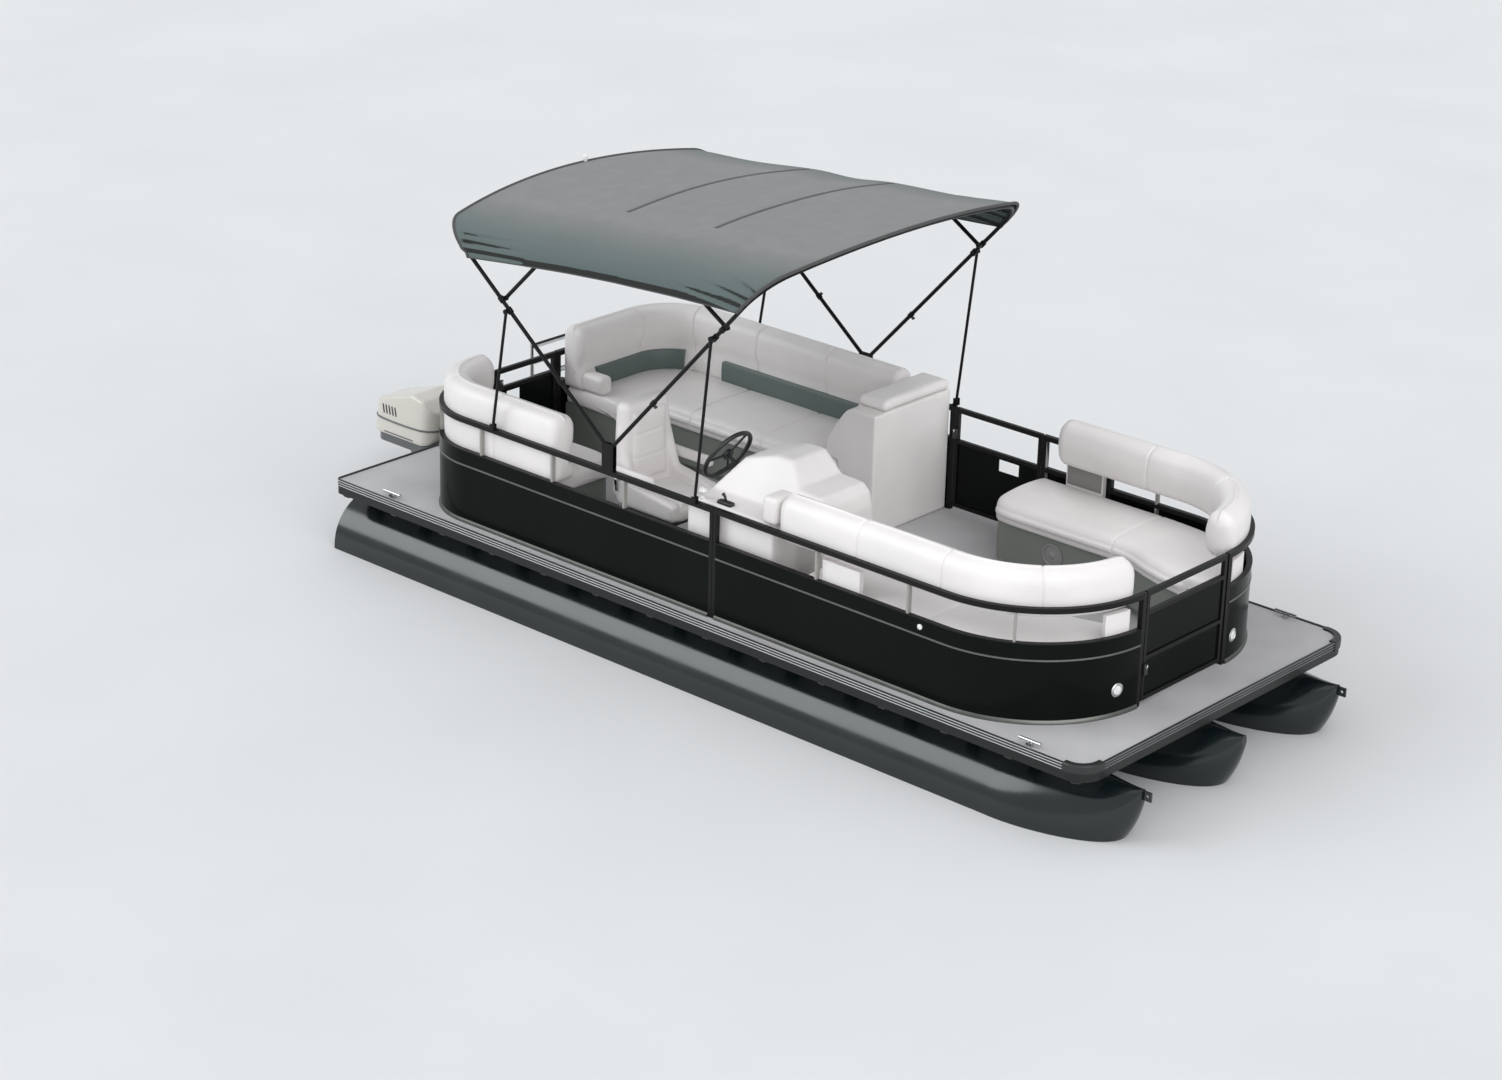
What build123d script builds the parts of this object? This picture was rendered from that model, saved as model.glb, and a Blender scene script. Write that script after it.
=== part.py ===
from build123d import *
from math import cos, hypot, radians, sin
import os

os.makedirs("parts", exist_ok=True)

# Pontoon boat with three tubes, in millimetres. X points to the bow, Y to port, Z up.
# The origin lies on the waterline at the middle of the deck.

# Deck and its frame
deck_length = 6100
deck_width = 2590
deck_top = 500
deck_thickness = 30
deck_bow_radius = 140
deck_stern_radius = 40
deck_inset = 12
well_depth = 230
well_width = 760
beam_height = 75
beam_width = 50
beam_wall = 8
beam_count = 14
beam_margin = 60
trim_height = 100
trim_thickness = 10
trim_lip = 10
bow_edge = deck_length / 2
stern_edge = -deck_length / 2
half_width = deck_width / 2
beam_top = deck_top - deck_thickness
beam_bottom = beam_top - beam_height

# Tubes
tube_radius = 317.5
tube_spacing = 965
tube_aft = stern_edge - 70
bracket_height = 60
bracket_width = 170
bracket_wall = 8
bracket_sink = 12
nose_length = 860
tube_z = beam_bottom - bracket_height - tube_radius
nose_base = 2350
cap_bevel = 30
strake_reach = 75
strake_drop = 190
strake_height = 60
strake_aft = tube_aft + 400
strake_fore = nose_base - 100
eye_plate = 12
eye_bore = 10

# Fence
fence_inset = 88
fence_height = 700
fence_aft = stern_edge + 600
fence_fore = bow_edge - 300
fence_aft_radius = 500
fence_bow_radius = 800
rail = 32
upright = 15
joint_post = 25
panel_rail = 25
panel_height = 485
skin = 3
sheet_thickness = 6
fence_side = half_width - fence_inset
fence_top = deck_top + fence_height
panel_top = deck_top + panel_height
starboard_joint = fence_aft + 2652
port_joint = fence_aft + 3770
section_gap = 3
bow_gate_half = 400
port_gate_aft = fence_aft + 2545
port_gate_fore = port_gate_aft + 710
stern_gate_low = -450
stern_gate_high = 110
end_sheet_height = 575
gate_clearance = 12
gate_lift = 25
gate_tube = 25
hinge_radius = 5.5
hinge_pin = 3
hinge_setback = 4.5
hinge_length = 30
hinge_gap = 0.3
hinge_heights = (deck_top + 120, deck_top + 360, deck_top + 560)

# Seats
seat_top = deck_top + 450
seat_base_top = seat_top - 120
seat_round = 45
seat_gap = 0.3
back_clearance = 0.3
back_thickness = 190
back_top = deck_top + 885
back_round = 80
couch_bottom = deck_top + 615
couch_top = deck_top + 900
couch_thickness = 185
couch_round = 78
support_depth = 36
support_aft_start = 190
support_aft_end = 470
support_aft_reach = 300
support_bow_length = 100
support_bow_offset = 60
support_bow_width = 170
support_sink = 40
base_setback = 30
toe_height = 60
toe_setback = 80
seat_depth = 607
bow_seat_inner = bow_gate_half + 40

# Canopy frame
bow_radius = 12.7
strut_radius = 9.5
pivot_x = fence_aft + 1805
pivot_spacing = 46
pivot_height = 148
aft_angle = 38.2
fore_angle = 47.6
bow_corner = 260
eye_radius = 16
eye_width = 24
ear_gap_side = 1
ear_thickness = 3
pin_radius = 5
pin_clearance = 0.05
clamp_radius = 19
clamp_length = 36
knuckle_aft = 1146
knuckle_fore = 1305
strut_drop = 90
second_aft_angle = 45
second_fore_angle = 149
strut_foot_fore_x = fence_aft + 2520
strut_foot_aft_x = fence_aft + 810
foot_height = 30
pivot_z = fence_top + pivot_height
main_side = fence_side - rail / 2

# Canopy
canopy_slope = 0.08
canopy_crown_z = 2715
canopy_thickness = 4
canopy_side = 1210
canopy_drop = 300
canopy_corner = 180
canopy_crown = 112
cloth_gap = 0.3
crown_margin = 8

# Engine
transom_x = tube_aft - 130
transom_top = 210
transom_width = 520
transom_thickness = 50
tilt_x = transom_x - 45
tilt_z = transom_top + 20
steer_x = tilt_x - 75
swivel_radius = 42
kingpin_radius = 24
running_clearance = 0.05
cowl_low = 330
cowl_peak = 332
cowl_tail = 217
cowl_fore = steer_x + 10
cowl_length = 590
cowl_width = 390
prop_x = transom_x - 490
prop_z = -495
prop_radius = 165
blade_count = 3

# Boarding ladder
ladder_x = stern_edge - 130
ladder_y = half_width - 495
ladder_half = 180
ladder_length = 480
ladder_tube = 12.7
handrail_height = 280
handrail_half = 205


def save(part, name):
    part.label = name
    export_step(part, f"parts/{name}.step")


def block(low, high, mode=Mode.ADD):
    centre = tuple((a + b) / 2 for a, b in zip(low, high))
    size = tuple(b - a for a, b in zip(low, high))
    with Locations(centre):
        Box(*size, mode=mode)


def rod(start, end, radius, mode=Mode.ADD):
    axis = Vector(*end) - Vector(*start)
    with Locations(Plane(origin=start, z_dir=axis)):
        Cylinder(radius, axis.length, align=(Align.CENTER, Align.CENTER, Align.MIN), mode=mode)


# Tubes with their noses, brackets and lifting strakes
# Nose stations: distance ahead of the nose base, half width, half height, centre above the tube's centre
nose_stations = [
    (0, tube_radius, tube_radius, 0),
    (400, 270, 285, 30),
    (700, 150, 195, 115),
    (nose_length, 22, 40, 285),
]


def tube(y):
    with BuildPart() as hull:
        with BuildSketch(Plane.YZ.offset(tube_aft)):
            with Locations((y, tube_z)):
                Circle(tube_radius)
        extrude(amount=nose_base - tube_aft)
        chamfer(hull.edges().sort_by(Axis.X)[0], cap_bevel)
        for ahead, half, height, rise in nose_stations:
            with BuildSketch(Plane.YZ.offset(nose_base + ahead)):
                with Locations((y, tube_z + rise)):
                    Ellipse(half, height)
        loft()
        # Inverted channel welded along the top of the tube
        foot = tube_z + (tube_radius**2 - (bracket_width / 2) ** 2) ** 0.5 - bracket_sink
        crest = beam_bottom
        fore = nose_base + 150
        aft = stern_edge + (well_depth + 40 if y == 0 else 60)
        for side in (-1, 1):
            wall = sorted((y + side * bracket_width / 2, y + side * (bracket_width / 2 - bracket_wall)))
            block((aft, wall[0], foot), (fore, wall[1], crest))
        block((aft, y - bracket_width / 2, crest - bracket_wall), (fore, y + bracket_width / 2, crest))
        # Lifting strakes along the lower sides
        reach = (tube_radius**2 - strake_drop**2) ** 0.5
        for side in (-1, 1):
            with BuildSketch(Plane.YZ.offset(strake_aft)):
                with BuildLine():
                    Polyline(
                        (y + side * (reach - 25), tube_z - strake_drop),
                        (y + side * (reach + strake_reach), tube_z - strake_drop),
                        (y + side * (reach - 25), tube_z - strake_drop + strake_height),
                        close=True,
                    )
                make_face()
            extrude(amount=strake_fore - strake_aft)
        # Towing eye on the tip of each outer nose
        if y != 0:
            tip_x = nose_base + nose_length
            tip_z = tube_z + nose_stations[-1][3]
            block((tip_x - 60, y - eye_plate / 2, tip_z - 25), (tip_x + 52, y + eye_plate / 2, tip_z + 30))
            bore_x = tip_x + 26
            rod((bore_x, y - 20, tip_z + 2), (bore_x, y + 20, tip_z + 2), eye_bore, mode=Mode.SUBTRACT)
    return hull.part


for name, y in (("tube_starboard", -tube_spacing), ("tube_centre", 0), ("tube_port", tube_spacing)):
    save(tube(y), name)


def deck_shape(inset):
    with BuildSketch() as shape:
        Rectangle(deck_length - 2 * inset, deck_width - 2 * inset)
        fillet(shape.vertices().sort_by(Axis.X)[-2:], deck_bow_radius - inset)
        fillet(shape.vertices().sort_by(Axis.X)[:2], deck_stern_radius - inset)
        with Locations((stern_edge, 0)):
            Rectangle(2 * (well_depth + inset), well_width + 2 * inset, mode=Mode.SUBTRACT)
    return shape.sketch


# Cross beams, the aft pair cut short beside the engine well
beam_first = stern_edge + beam_margin + beam_width / 2
beam_pitch = (deck_length - 2 * beam_margin - beam_width) / (beam_count - 1)
with BuildPart() as cross_beams:
    for i in range(beam_count):
        x = beam_first + i * beam_pitch
        half = half_width - trim_thickness - 2
        if x - beam_width / 2 < stern_edge + well_depth + 20:
            spans = ((-half, -well_width / 2 - 20), (well_width / 2 + 20, half))
        else:
            spans = ((-half, half),)
        for low, high in spans:
            block((x - beam_width / 2, low, beam_bottom), (x + beam_width / 2, high, beam_bottom + beam_wall))
            block((x - beam_width / 2, low, beam_top - beam_wall), (x + beam_width / 2, high, beam_top))
            block((x - beam_width / 2, low, beam_bottom), (x - beam_width / 2 + beam_wall, high, beam_top))
    with BuildSketch(Plane.XY.offset(beam_bottom)):
        add(deck_shape(trim_thickness + 1))
    extrude(amount=beam_height, mode=Mode.INTERSECT)
save(cross_beams.part, "cross_beams")


with BuildPart() as deck:
    with BuildSketch(Plane.XY.offset(beam_top)):
        add(deck_shape(trim_thickness))
    extrude(amount=deck_thickness)
save(deck.part, "deck")

with BuildPart() as deck_trim:
    with BuildSketch(Plane.XY.offset(deck_top + trim_lip - trim_height)):
        add(deck_shape(0))
        add(deck_shape(trim_thickness), mode=Mode.SUBTRACT)
    extrude(amount=trim_height)
save(deck_trim.part, "deck_trim")


# Motor mount behind the centre tube
with BuildPart() as motor_mount:
    with BuildSketch(Plane.XZ.offset(-transom_width / 2 + 90)):
        with BuildLine():
            Polyline(
                (tube_aft, tube_z + 150),
                (transom_x + transom_thickness, transom_top - 30),
                (transom_x + transom_thickness, tube_z - 220),
                (tube_aft, tube_z - 285),
                close=True,
            )
        make_face()
    extrude(amount=transom_width - 180)
    block(
        (transom_x, -transom_width / 2, tube_z - 220),
        (transom_x + transom_thickness, transom_width / 2, transom_top),
    )
save(motor_mount.part, "motor_mount")


# Gates, each a tube frame with a sheet, a hand gap below its top bar and hinge knuckles
gate_inset = (rail - gate_tube) / 2
hinge_reach = gate_clearance / 2
port_width = port_gate_fore - port_gate_aft - 2 * gate_clearance
bow_width = 2 * (bow_gate_half - gate_clearance)
stern_width = stern_gate_high - stern_gate_low - 2 * gate_clearance
# Gates: name, width, corner of the closed gate, turn about Z, hinge edge, top of the sheet above the deck,
# window (x low, x high, drop below the top bar), fence section that carries it
gates = [
    (
        "port_gate",
        port_width,
        (port_gate_aft + gate_clearance, fence_side - rail + gate_inset),
        0,
        port_width,
        panel_height,
        (355, 515, 18),
        "port_middle",
    ),
    (
        "bow_gate",
        bow_width,
        (fence_fore - rail + gate_inset, bow_gate_half - gate_clearance),
        -90,
        0,
        end_sheet_height,
        None,
        "port_bow",
    ),
    (
        "stern_gate",
        stern_width,
        (fence_aft + rail - gate_inset, stern_gate_low + gate_clearance),
        90,
        stern_width,
        end_sheet_height,
        (95, 215, 18),
        "port_aft",
    ),
]


def knuckle(hinge_edge, width, side, low, high):
    """Barrel on the hinge axis with a web into the gate (side -1) or into its post (side 1)."""
    outward = 1 if hinge_edge else -1
    axis_x = hinge_edge + outward * hinge_reach
    root = axis_x + outward * side * (hinge_reach + rail / 2)
    edges = sorted((axis_x, root))
    rod((axis_x, -hinge_setback, low), (axis_x, -hinge_setback, high), hinge_radius)
    block((edges[0], -hinge_setback, low), (edges[1], 3, high))


def gate(width, hinge_edge, sheet_height, window):
    """Gate standing along X from 0 to width, its inner face on the XZ plane."""
    low = deck_top + gate_lift
    sheet_top = deck_top + sheet_height
    with BuildPart() as frame:
        for x in (0, width - gate_tube):
            block((x, 0, low), (x + gate_tube, gate_tube, fence_top))
        for z in (low, sheet_top - gate_tube, fence_top - rail):
            height = rail if z == fence_top - rail else gate_tube
            block((0, 0, z), (width, gate_tube, z + height))
        if window is None:
            block((0, 0, low + 250), (width, gate_tube, low + 250 + gate_tube))
        axis_x = hinge_edge + (hinge_reach if hinge_edge else -hinge_reach)
        for z in hinge_heights:
            knuckle(hinge_edge, width, -1, z - hinge_length / 2, z + hinge_length / 2)
            low_end, high_end = z - hinge_length, z + hinge_length
            bore = hinge_pin + pin_clearance
            rod((axis_x, -hinge_setback, low_end), (axis_x, -hinge_setback, high_end), bore, Mode.SUBTRACT)
    with BuildPart() as sheet:
        block(
            (gate_tube, (gate_tube - sheet_thickness) / 2, low + gate_tube),
            (width - gate_tube, (gate_tube + sheet_thickness) / 2, sheet_top - gate_tube),
        )
        if window is None:
            block((0, 0, low + 250), (width, gate_tube, low + 250 + gate_tube), mode=Mode.SUBTRACT)
        else:
            left, right, drop = window
            window_top = sheet_top - gate_tube - drop
            block((left, 0, window_top - 80), (right, gate_tube, window_top), mode=Mode.SUBTRACT)
    return frame.part, sheet.part


def post_hinges(width, hinge_edge):
    """Knuckles and pins on the post beside a gate, in the gate's own frame."""
    axis_x = hinge_edge + (hinge_reach if hinge_edge else -hinge_reach)
    with BuildPart() as hinges:
        for z in hinge_heights:
            near, far = hinge_length / 2 + hinge_gap, hinge_length
            knuckle(hinge_edge, width, 1, z + near, z + far)
            knuckle(hinge_edge, width, 1, z - far, z - near)
            rod((axis_x, -hinge_setback, z - far), (axis_x, -hinge_setback, z + far), hinge_pin)
    return hinges.part


def gate_place(corner, turn):
    return Location((corner[0], corner[1], 0), (0, 0, turn))


for name, width, corner, turn, hinge_edge, sheet_height, window, carrier in gates:
    frame, sheet = gate(width, hinge_edge, sheet_height, window)
    with BuildPart() as placed_frame:
        add(frame.moved(gate_place(corner, turn)))
    save(placed_frame.part, f"{name}_frame")
    with BuildPart() as placed_sheet:
        add(sheet.moved(gate_place(corner, turn)))
    save(placed_sheet.part, f"{name}_panel")


# Fence: rails, posts and sheets cut from one rounded outline
def fence_shape(inset):
    with BuildSketch() as shape:
        with Locations(((fence_aft + fence_fore) / 2, 0)):
            Rectangle(fence_fore - fence_aft - 2 * inset, 2 * (fence_side - inset))
        fillet(shape.vertices().sort_by(Axis.X)[-2:], fence_bow_radius - inset)
        fillet(shape.vertices().sort_by(Axis.X)[:2], fence_aft_radius - inset)
    return shape.sketch


def band(inset, thickness, low, high):
    with BuildPart() as ring:
        with BuildSketch(Plane.XY.offset(low)):
            add(fence_shape(inset))
            add(fence_shape(inset + thickness), mode=Mode.SUBTRACT)
        extrude(amount=high - low)
    return ring.part


def corner_point(radius, centre_x, side, angle):
    """Middle of an upright on a rounded corner, at an angle from the side towards the end."""
    reach = radius - skin - 0.5 - corner_upright_depth / 2
    x = centre_x + reach * sin(radians(angle))
    y = side * (fence_side - radius + reach * cos(radians(angle)))
    return x, y, -side * angle


corner_upright_depth = rail - skin - 2
aft_centre = fence_aft + fence_aft_radius
fore_centre = fence_fore - fence_bow_radius
side_middle = fence_side - rail / 2
joint_reach = (section_gap + joint_post) / 2
# Uprights behind the skin, as distances ahead of the fence's aft end
upright_1 = fence_aft + 676
upright_2 = fence_aft + 1303
upright_3 = fence_aft + 1916
upright_4 = fence_aft + 3453
upright_5 = fence_aft + 4137
# Sections: name, plan area (x low, y low, x high, y high), uprights (x, side), uprights on corners,
# joint posts (x, side), posts beside the end gates (x, y)
sections = [
    (
        "starboard_aft",
        (fence_aft - 1, -half_width, starboard_joint - section_gap / 2, stern_gate_low),
        [(upright_1, -1), (upright_2, -1), (upright_3, -1)],
        [(aft_centre, fence_aft_radius, -1, -45)],
        [(starboard_joint - joint_reach, -1)],
        [(fence_aft + rail / 2, stern_gate_low - rail / 2)],
    ),
    (
        "starboard_bow",
        (starboard_joint + section_gap / 2, -half_width, fence_fore + 1, -bow_gate_half),
        [(upright_4, -1), (upright_5, -1)],
        [(fore_centre, fence_bow_radius, -1, 31)],
        [(starboard_joint + joint_reach, -1)],
        [(fence_fore - rail / 2, -bow_gate_half - rail / 2)],
    ),
    (
        "port_aft",
        (fence_aft - 1, stern_gate_high, port_gate_aft, half_width),
        [(upright_1, 1), (upright_2, 1), (upright_3, 1)],
        [(aft_centre, fence_aft_radius, 1, -45)],
        [],
        [(fence_aft + rail / 2, stern_gate_high + rail / 2), (port_gate_aft - rail / 2, side_middle)],
    ),
    (
        "port_middle",
        (port_gate_fore, 0, port_joint - section_gap / 2, half_width),
        [],
        [],
        [(port_joint - joint_reach, 1)],
        [(port_gate_fore + rail / 2, side_middle)],
    ),
    (
        "port_bow",
        (port_joint + section_gap / 2, bow_gate_half, fence_fore + 1, half_width),
        [(upright_5, 1)],
        [(fore_centre, fence_bow_radius, 1, 31)],
        [(port_joint + joint_reach, 1)],
        [(fence_fore - rail / 2, bow_gate_half + rail / 2)],
    ),
]

for name, area, straight, corners, joints, ends in sections:
    low = (area[0], area[1], deck_top)
    high = (area[2], area[3], fence_top)
    with BuildPart() as frame:
        add(band(skin, rail - skin, deck_top, deck_top + rail))
        add(band(skin, rail - skin, panel_top - panel_rail, panel_top))
        add(band(0, rail, fence_top - rail, fence_top))
        block(low, high, mode=Mode.INTERSECT)
        for x, side in straight:
            edges = sorted((side * (fence_side - skin), side * (fence_side - rail)))
            block((x - upright / 2, edges[0], deck_top), (x + upright / 2, edges[1], fence_top - 1))
        for x, side in joints:
            y = side * side_middle
            block((x - joint_post / 2, y - rail / 2, deck_top), (x + joint_post / 2, y + rail / 2, fence_top))
        for x, y in ends:
            block((x - rail / 2, y - rail / 2, deck_top), (x + rail / 2, y + rail / 2, fence_top))
        for centre_x, radius, side, angle in corners:
            x, y, turn = corner_point(radius, centre_x, side, angle)
            with Locations(Location((x, y, deck_top), (0, 0, turn))):
                Box(
                    upright,
                    corner_upright_depth,
                    fence_height - 1,
                    align=(Align.CENTER, Align.CENTER, Align.MIN),
                )
        for gate_name, width, corner, turn, hinge_edge, sheet_height, window, carrier in gates:
            if carrier == name:
                add(post_hinges(width, hinge_edge).moved(gate_place(corner, turn)))
    save(frame.part, f"fence_frame_{name}")
    with BuildPart() as panel:
        add(band(0, skin, deck_top, panel_top))
        block(low, high, mode=Mode.INTERSECT)
        add(frame.part, mode=Mode.SUBTRACT)
    save(panel.part, f"fence_panel_{name}")


# Seat backs follow the fence round its corners
def seat_back(area, thickness, low, high, radius, both):
    with BuildPart() as back:
        add(band(rail + back_clearance, thickness, low, high))
        block((area[0], area[1], low), (area[2], area[3], high), mode=Mode.INTERSECT)
        fillet(back.faces().sort_by(Axis.Z)[-1].edges(), radius)
        if both:
            fillet(back.faces().sort_by(Axis.Z)[0].edges(), radius)
    return back.part


def seat_plan(outline, shrink, inset):
    """Plan of a seat: rounded corners, kept inside the fence."""
    with BuildSketch() as plan:
        with BuildLine():
            Polyline(*[(x, y) for x, y, radius in outline], close=True)
        make_face()
        for x, y, radius in outline:
            if radius:
                fillet(plan.vertices().sort_by_distance((x, y, 0))[0], radius)
        if shrink:
            offset(amount=-shrink)
        add(fence_shape(inset), mode=Mode.INTERSECT)
    return plan.sketch


def couch(side):
    """Outline of a bow couch's seat, outboard past the fence: x, y, corner radius."""
    inner = side * (fence_side - seat_depth)
    outer = side * half_width
    mouth = side * bow_seat_inner
    return [
        (couch_aft, outer, 0),
        (couch_aft, inner, 90),
        (couch_bend, inner, 300),
        (couch_bend + 300, side * (bow_seat_inner + 40), 300),
        (fence_fore - 300, mouth, 60),
        (bow_edge, mouth, 0),
        (bow_edge, outer, 0),
    ]


lounge_end_aft = port_gate_aft - 335
lounge_end_fore = port_gate_aft - 35
lounge_front = fence_side - 807
couch_aft = port_gate_fore + 35
couch_bend = couch_aft + 1040
aft_seat_fore = fence_aft + 1220
aft_seat_end = -(fence_side - 587)
# Seats: name, plan area of the back, floating back, seat's outline (x, y, corner radius)
seats = [
    (
        "port_lounge",
        (fence_aft, 150, lounge_end_aft - seat_gap, half_width),
        False,
        [
            (stern_edge, 160, 0),
            (fence_aft + 550, 160, 90),
            (fence_aft + 650, lounge_front, 120),
            (lounge_end_aft - seat_gap, lounge_front, 0),
            (lounge_end_aft - seat_gap, half_width, 0),
            (stern_edge, half_width, 0),
        ],
    ),
    (
        "aft_seat",
        (fence_aft, -half_width, aft_seat_fore + 82, aft_seat_end),
        False,
        [
            (stern_edge, -half_width, 0),
            (aft_seat_fore, -half_width, 0),
            (aft_seat_fore, -(fence_side - 700), 150),
            (fence_aft + 120, -(fence_side - 700), 60),
            (fence_aft + 120, aft_seat_end, 0),
            (stern_edge, aft_seat_end, 0),
        ],
    ),
    ("port_couch", (couch_aft + support_aft_start, bow_seat_inner, fence_fore, half_width), True, couch(1)),
    ("starboard_couch", (couch_aft - 180, -half_width, fence_fore, -bow_seat_inner), True, couch(-1)),
]
# Each seat in turn: back, cushion and base, and under a floating back its two supports
for name, back_area, floating, outline in seats:
    if floating:
        back = seat_back(back_area, couch_thickness, couch_bottom, couch_top, couch_round, True)
    else:
        back = seat_back(back_area, back_thickness, seat_top + seat_gap, back_top, back_round, False)
    save(back, f"{name}_back")
    inset = rail + back_clearance + (support_depth + seat_gap if floating else 0)
    with BuildPart() as cushion:
        with BuildSketch(Plane.XY.offset(seat_base_top)):
            add(seat_plan(outline, 0, inset))
        extrude(amount=seat_top - seat_base_top)
        fillet(cushion.faces().sort_by(Axis.Z)[-1].edges(), seat_round)
    save(cushion.part, f"{name}_cushion")
    with BuildPart() as seat_base:
        for setback, low, high in (
            (toe_setback, deck_top, deck_top + toe_height),
            (base_setback, deck_top + toe_height, seat_base_top),
        ):
            with BuildSketch(Plane.XY.offset(low)):
                add(seat_plan(outline, setback, rail + back_clearance))
            extrude(amount=high - low)
        if floating:
            side = 1 if outline[0][1] > 0 else -1
            outer = side * half_width
            # Supports: x low, x high, inner y
            supports = [
                (couch_aft + support_aft_start, couch_aft + support_aft_end, side * (fence_side - support_aft_reach)),
                (fence_fore - support_bow_length, fence_fore, side * (bow_seat_inner + support_bow_offset)),
            ]
            for x_low, x_high, y_inner in supports:
                y_far = outer if x_high < fence_fore else y_inner + side * support_bow_width
                edges = sorted((y_inner, y_far))
                with BuildSketch(Plane.XY.offset(seat_base_top - support_sink)):
                    add(fence_shape(rail + back_clearance))
                    add(fence_shape(rail + back_clearance + support_depth), mode=Mode.SUBTRACT)
                    with Locations(((x_low + x_high) / 2, (edges[0] + edges[1]) / 2)):
                        Rectangle(x_high - x_low, edges[1] - edges[0], mode=Mode.INTERSECT)
                extrude(amount=couch_bottom - seat_gap - seat_base_top + support_sink)
    save(seat_base.part, f"{name}_base")

# Tall end of the port lounge, a backrest that faces aft
lounge_end_top = deck_top + 815
with BuildPart() as lounge_end:
    with BuildSketch(Plane.XZ.offset(-lounge_front - 30)):
        with BuildLine():
            Polyline(
                (lounge_end_aft, deck_top),
                (lounge_end_aft, seat_top + seat_gap),
                (lounge_end_aft - 100, seat_top + seat_gap),
                (lounge_end_aft - 100, seat_top + 110),
                (lounge_end_aft - 30, seat_top + 230),
                (lounge_end_aft + 60, lounge_end_top - 15),
                (lounge_end_aft + 150, lounge_end_top),
                (lounge_end_fore, lounge_end_top),
                (lounge_end_fore, deck_top),
                close=True,
            )
        profile = make_face()
        corner = profile.vertices().sort_by_distance((lounge_end_aft + 60, lounge_end_top - 15, 0))[0]
        fillet(corner, 60)
    extrude(amount=-(fence_side - rail - back_clearance - back_thickness - seat_gap - lounge_front - 30))
    block(
        (lounge_end_aft, fence_side - rail - back_clearance - back_thickness - 10, deck_top),
        (lounge_end_fore, fence_side - rail - back_clearance, lounge_end_top),
    )
    block(
        (lounge_end_fore - 230, lounge_front + 130, lounge_end_top - 5),
        (lounge_end_fore - 10, fence_side - rail - back_clearance, lounge_end_top + 65),
    )
    fillet(lounge_end.faces().sort_by(Axis.Z)[-1].edges(), 30)
save(lounge_end.part, "port_lounge_end")


# Steering wheel's place: its column runs into a bore of the console
console_outer = -(fence_side - 57)
console_inner = console_outer + 670
console_aft = starboard_joint - 262
wheel_y = console_outer + 450
wheel_centre = (console_aft - 90, wheel_y, deck_top + 810)
wheel_rake = 30
wheel_radius = 175
wheel_rim = 14
column_radius = 12
column_length = 210
wheel_plane = Plane(origin=wheel_centre, z_dir=(-cos(radians(wheel_rake)), 0, sin(radians(wheel_rake))))
column_end = Vector(*wheel_centre) - wheel_plane.z_dir * column_length


# Helm console, its profile drawn from the side: distance ahead of its aft face, height above the deck
console_profile = [
    (0, 0),
    (0, 640),
    (40, 720),
    (170, 900),
    (390, 962),
    (511, 962),
    (640, 838),
    (815, 832),
    (867, 785),
    (887, 700),
    (893, 0),
]
console_front = console_aft + console_profile[-1][0]
slope_start = console_outer + 356
slope_end = console_outer + 177
with BuildPart() as console:
    with BuildSketch(Plane.XZ.offset(-console_inner)):
        with BuildLine():
            Polyline(*[(console_aft + x, deck_top + z) for x, z in console_profile], close=True)
        make_face()
    extrude(amount=console_inner - console_outer)
    # Outboard slope down to a ledge at the height of the rail
    with BuildSketch(Plane.YZ.offset(console_aft - 1)):
        with BuildLine():
            Polyline(
                (console_inner + 1, deck_top + 1100),
                (slope_start, deck_top + 1100),
                (slope_start, deck_top + 964),
                (slope_end, fence_top),
                (console_outer - 1, fence_top),
                (console_outer - 1, deck_top),
                (console_inner + 1, deck_top),
                close=True,
            )
        make_face()
    extrude(amount=console_front - console_aft + 2, mode=Mode.INTERSECT)
    block(
        (console_aft + 680, console_outer - 1, deck_top),
        (console_front + 1, console_outer + 220, deck_top + 1100),
        mode=Mode.SUBTRACT,
    )
    # Knee recess below the wheel
    block(
        (console_aft - 1, wheel_y - 170, deck_top + 60),
        (console_aft + 240, wheel_y + 170, deck_top + 520),
        mode=Mode.SUBTRACT,
    )
    fillet(console.faces().sort_by(Axis.Y)[-1].edges().filter_by(lambda e: e.center().Z > deck_top + 450), 30)
    bore_end = column_end - wheel_plane.z_dir * 20
    rod(wheel_centre, tuple(bore_end), column_radius + running_clearance, mode=Mode.SUBTRACT)
save(console.part, "helm_console")

with BuildPart() as steering_wheel:
    with Locations(wheel_plane):
        Torus(wheel_radius, wheel_rim)
        Cylinder(38, 24)
    for turn in (90, 210, 330):
        direction = wheel_plane.x_dir.rotate(Axis((0, 0, 0), wheel_plane.z_dir), turn)
        tip = Vector(*wheel_centre) + direction * (wheel_radius - 2)
        rod(wheel_centre, tuple(tip), 8)
    rod(tuple(column_end), wheel_centre, column_radius)
save(steering_wheel.part, "steering_wheel")

# Helm chair on its pedestal
chair_x = console_aft - 580
chair_y = wheel_y
pedestal_radius = 45
pedestal_height = 290
spindle_radius = 20
plate_low = deck_top + pedestal_height + seat_gap
chair_base = deck_top + 330
with BuildPart() as pedestal:
    with Locations((chair_x, chair_y, deck_top)):
        Cylinder(150, 16, align=(Align.CENTER, Align.CENTER, Align.MIN))
        Cylinder(pedestal_radius, pedestal_height, align=(Align.CENTER, Align.CENTER, Align.MIN))
    rod(
        (chair_x, chair_y, deck_top + 120),
        (chair_x, chair_y, deck_top + 300),
        spindle_radius + running_clearance,
        mode=Mode.SUBTRACT,
    )
save(pedestal.part, "helm_chair_pedestal")
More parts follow.
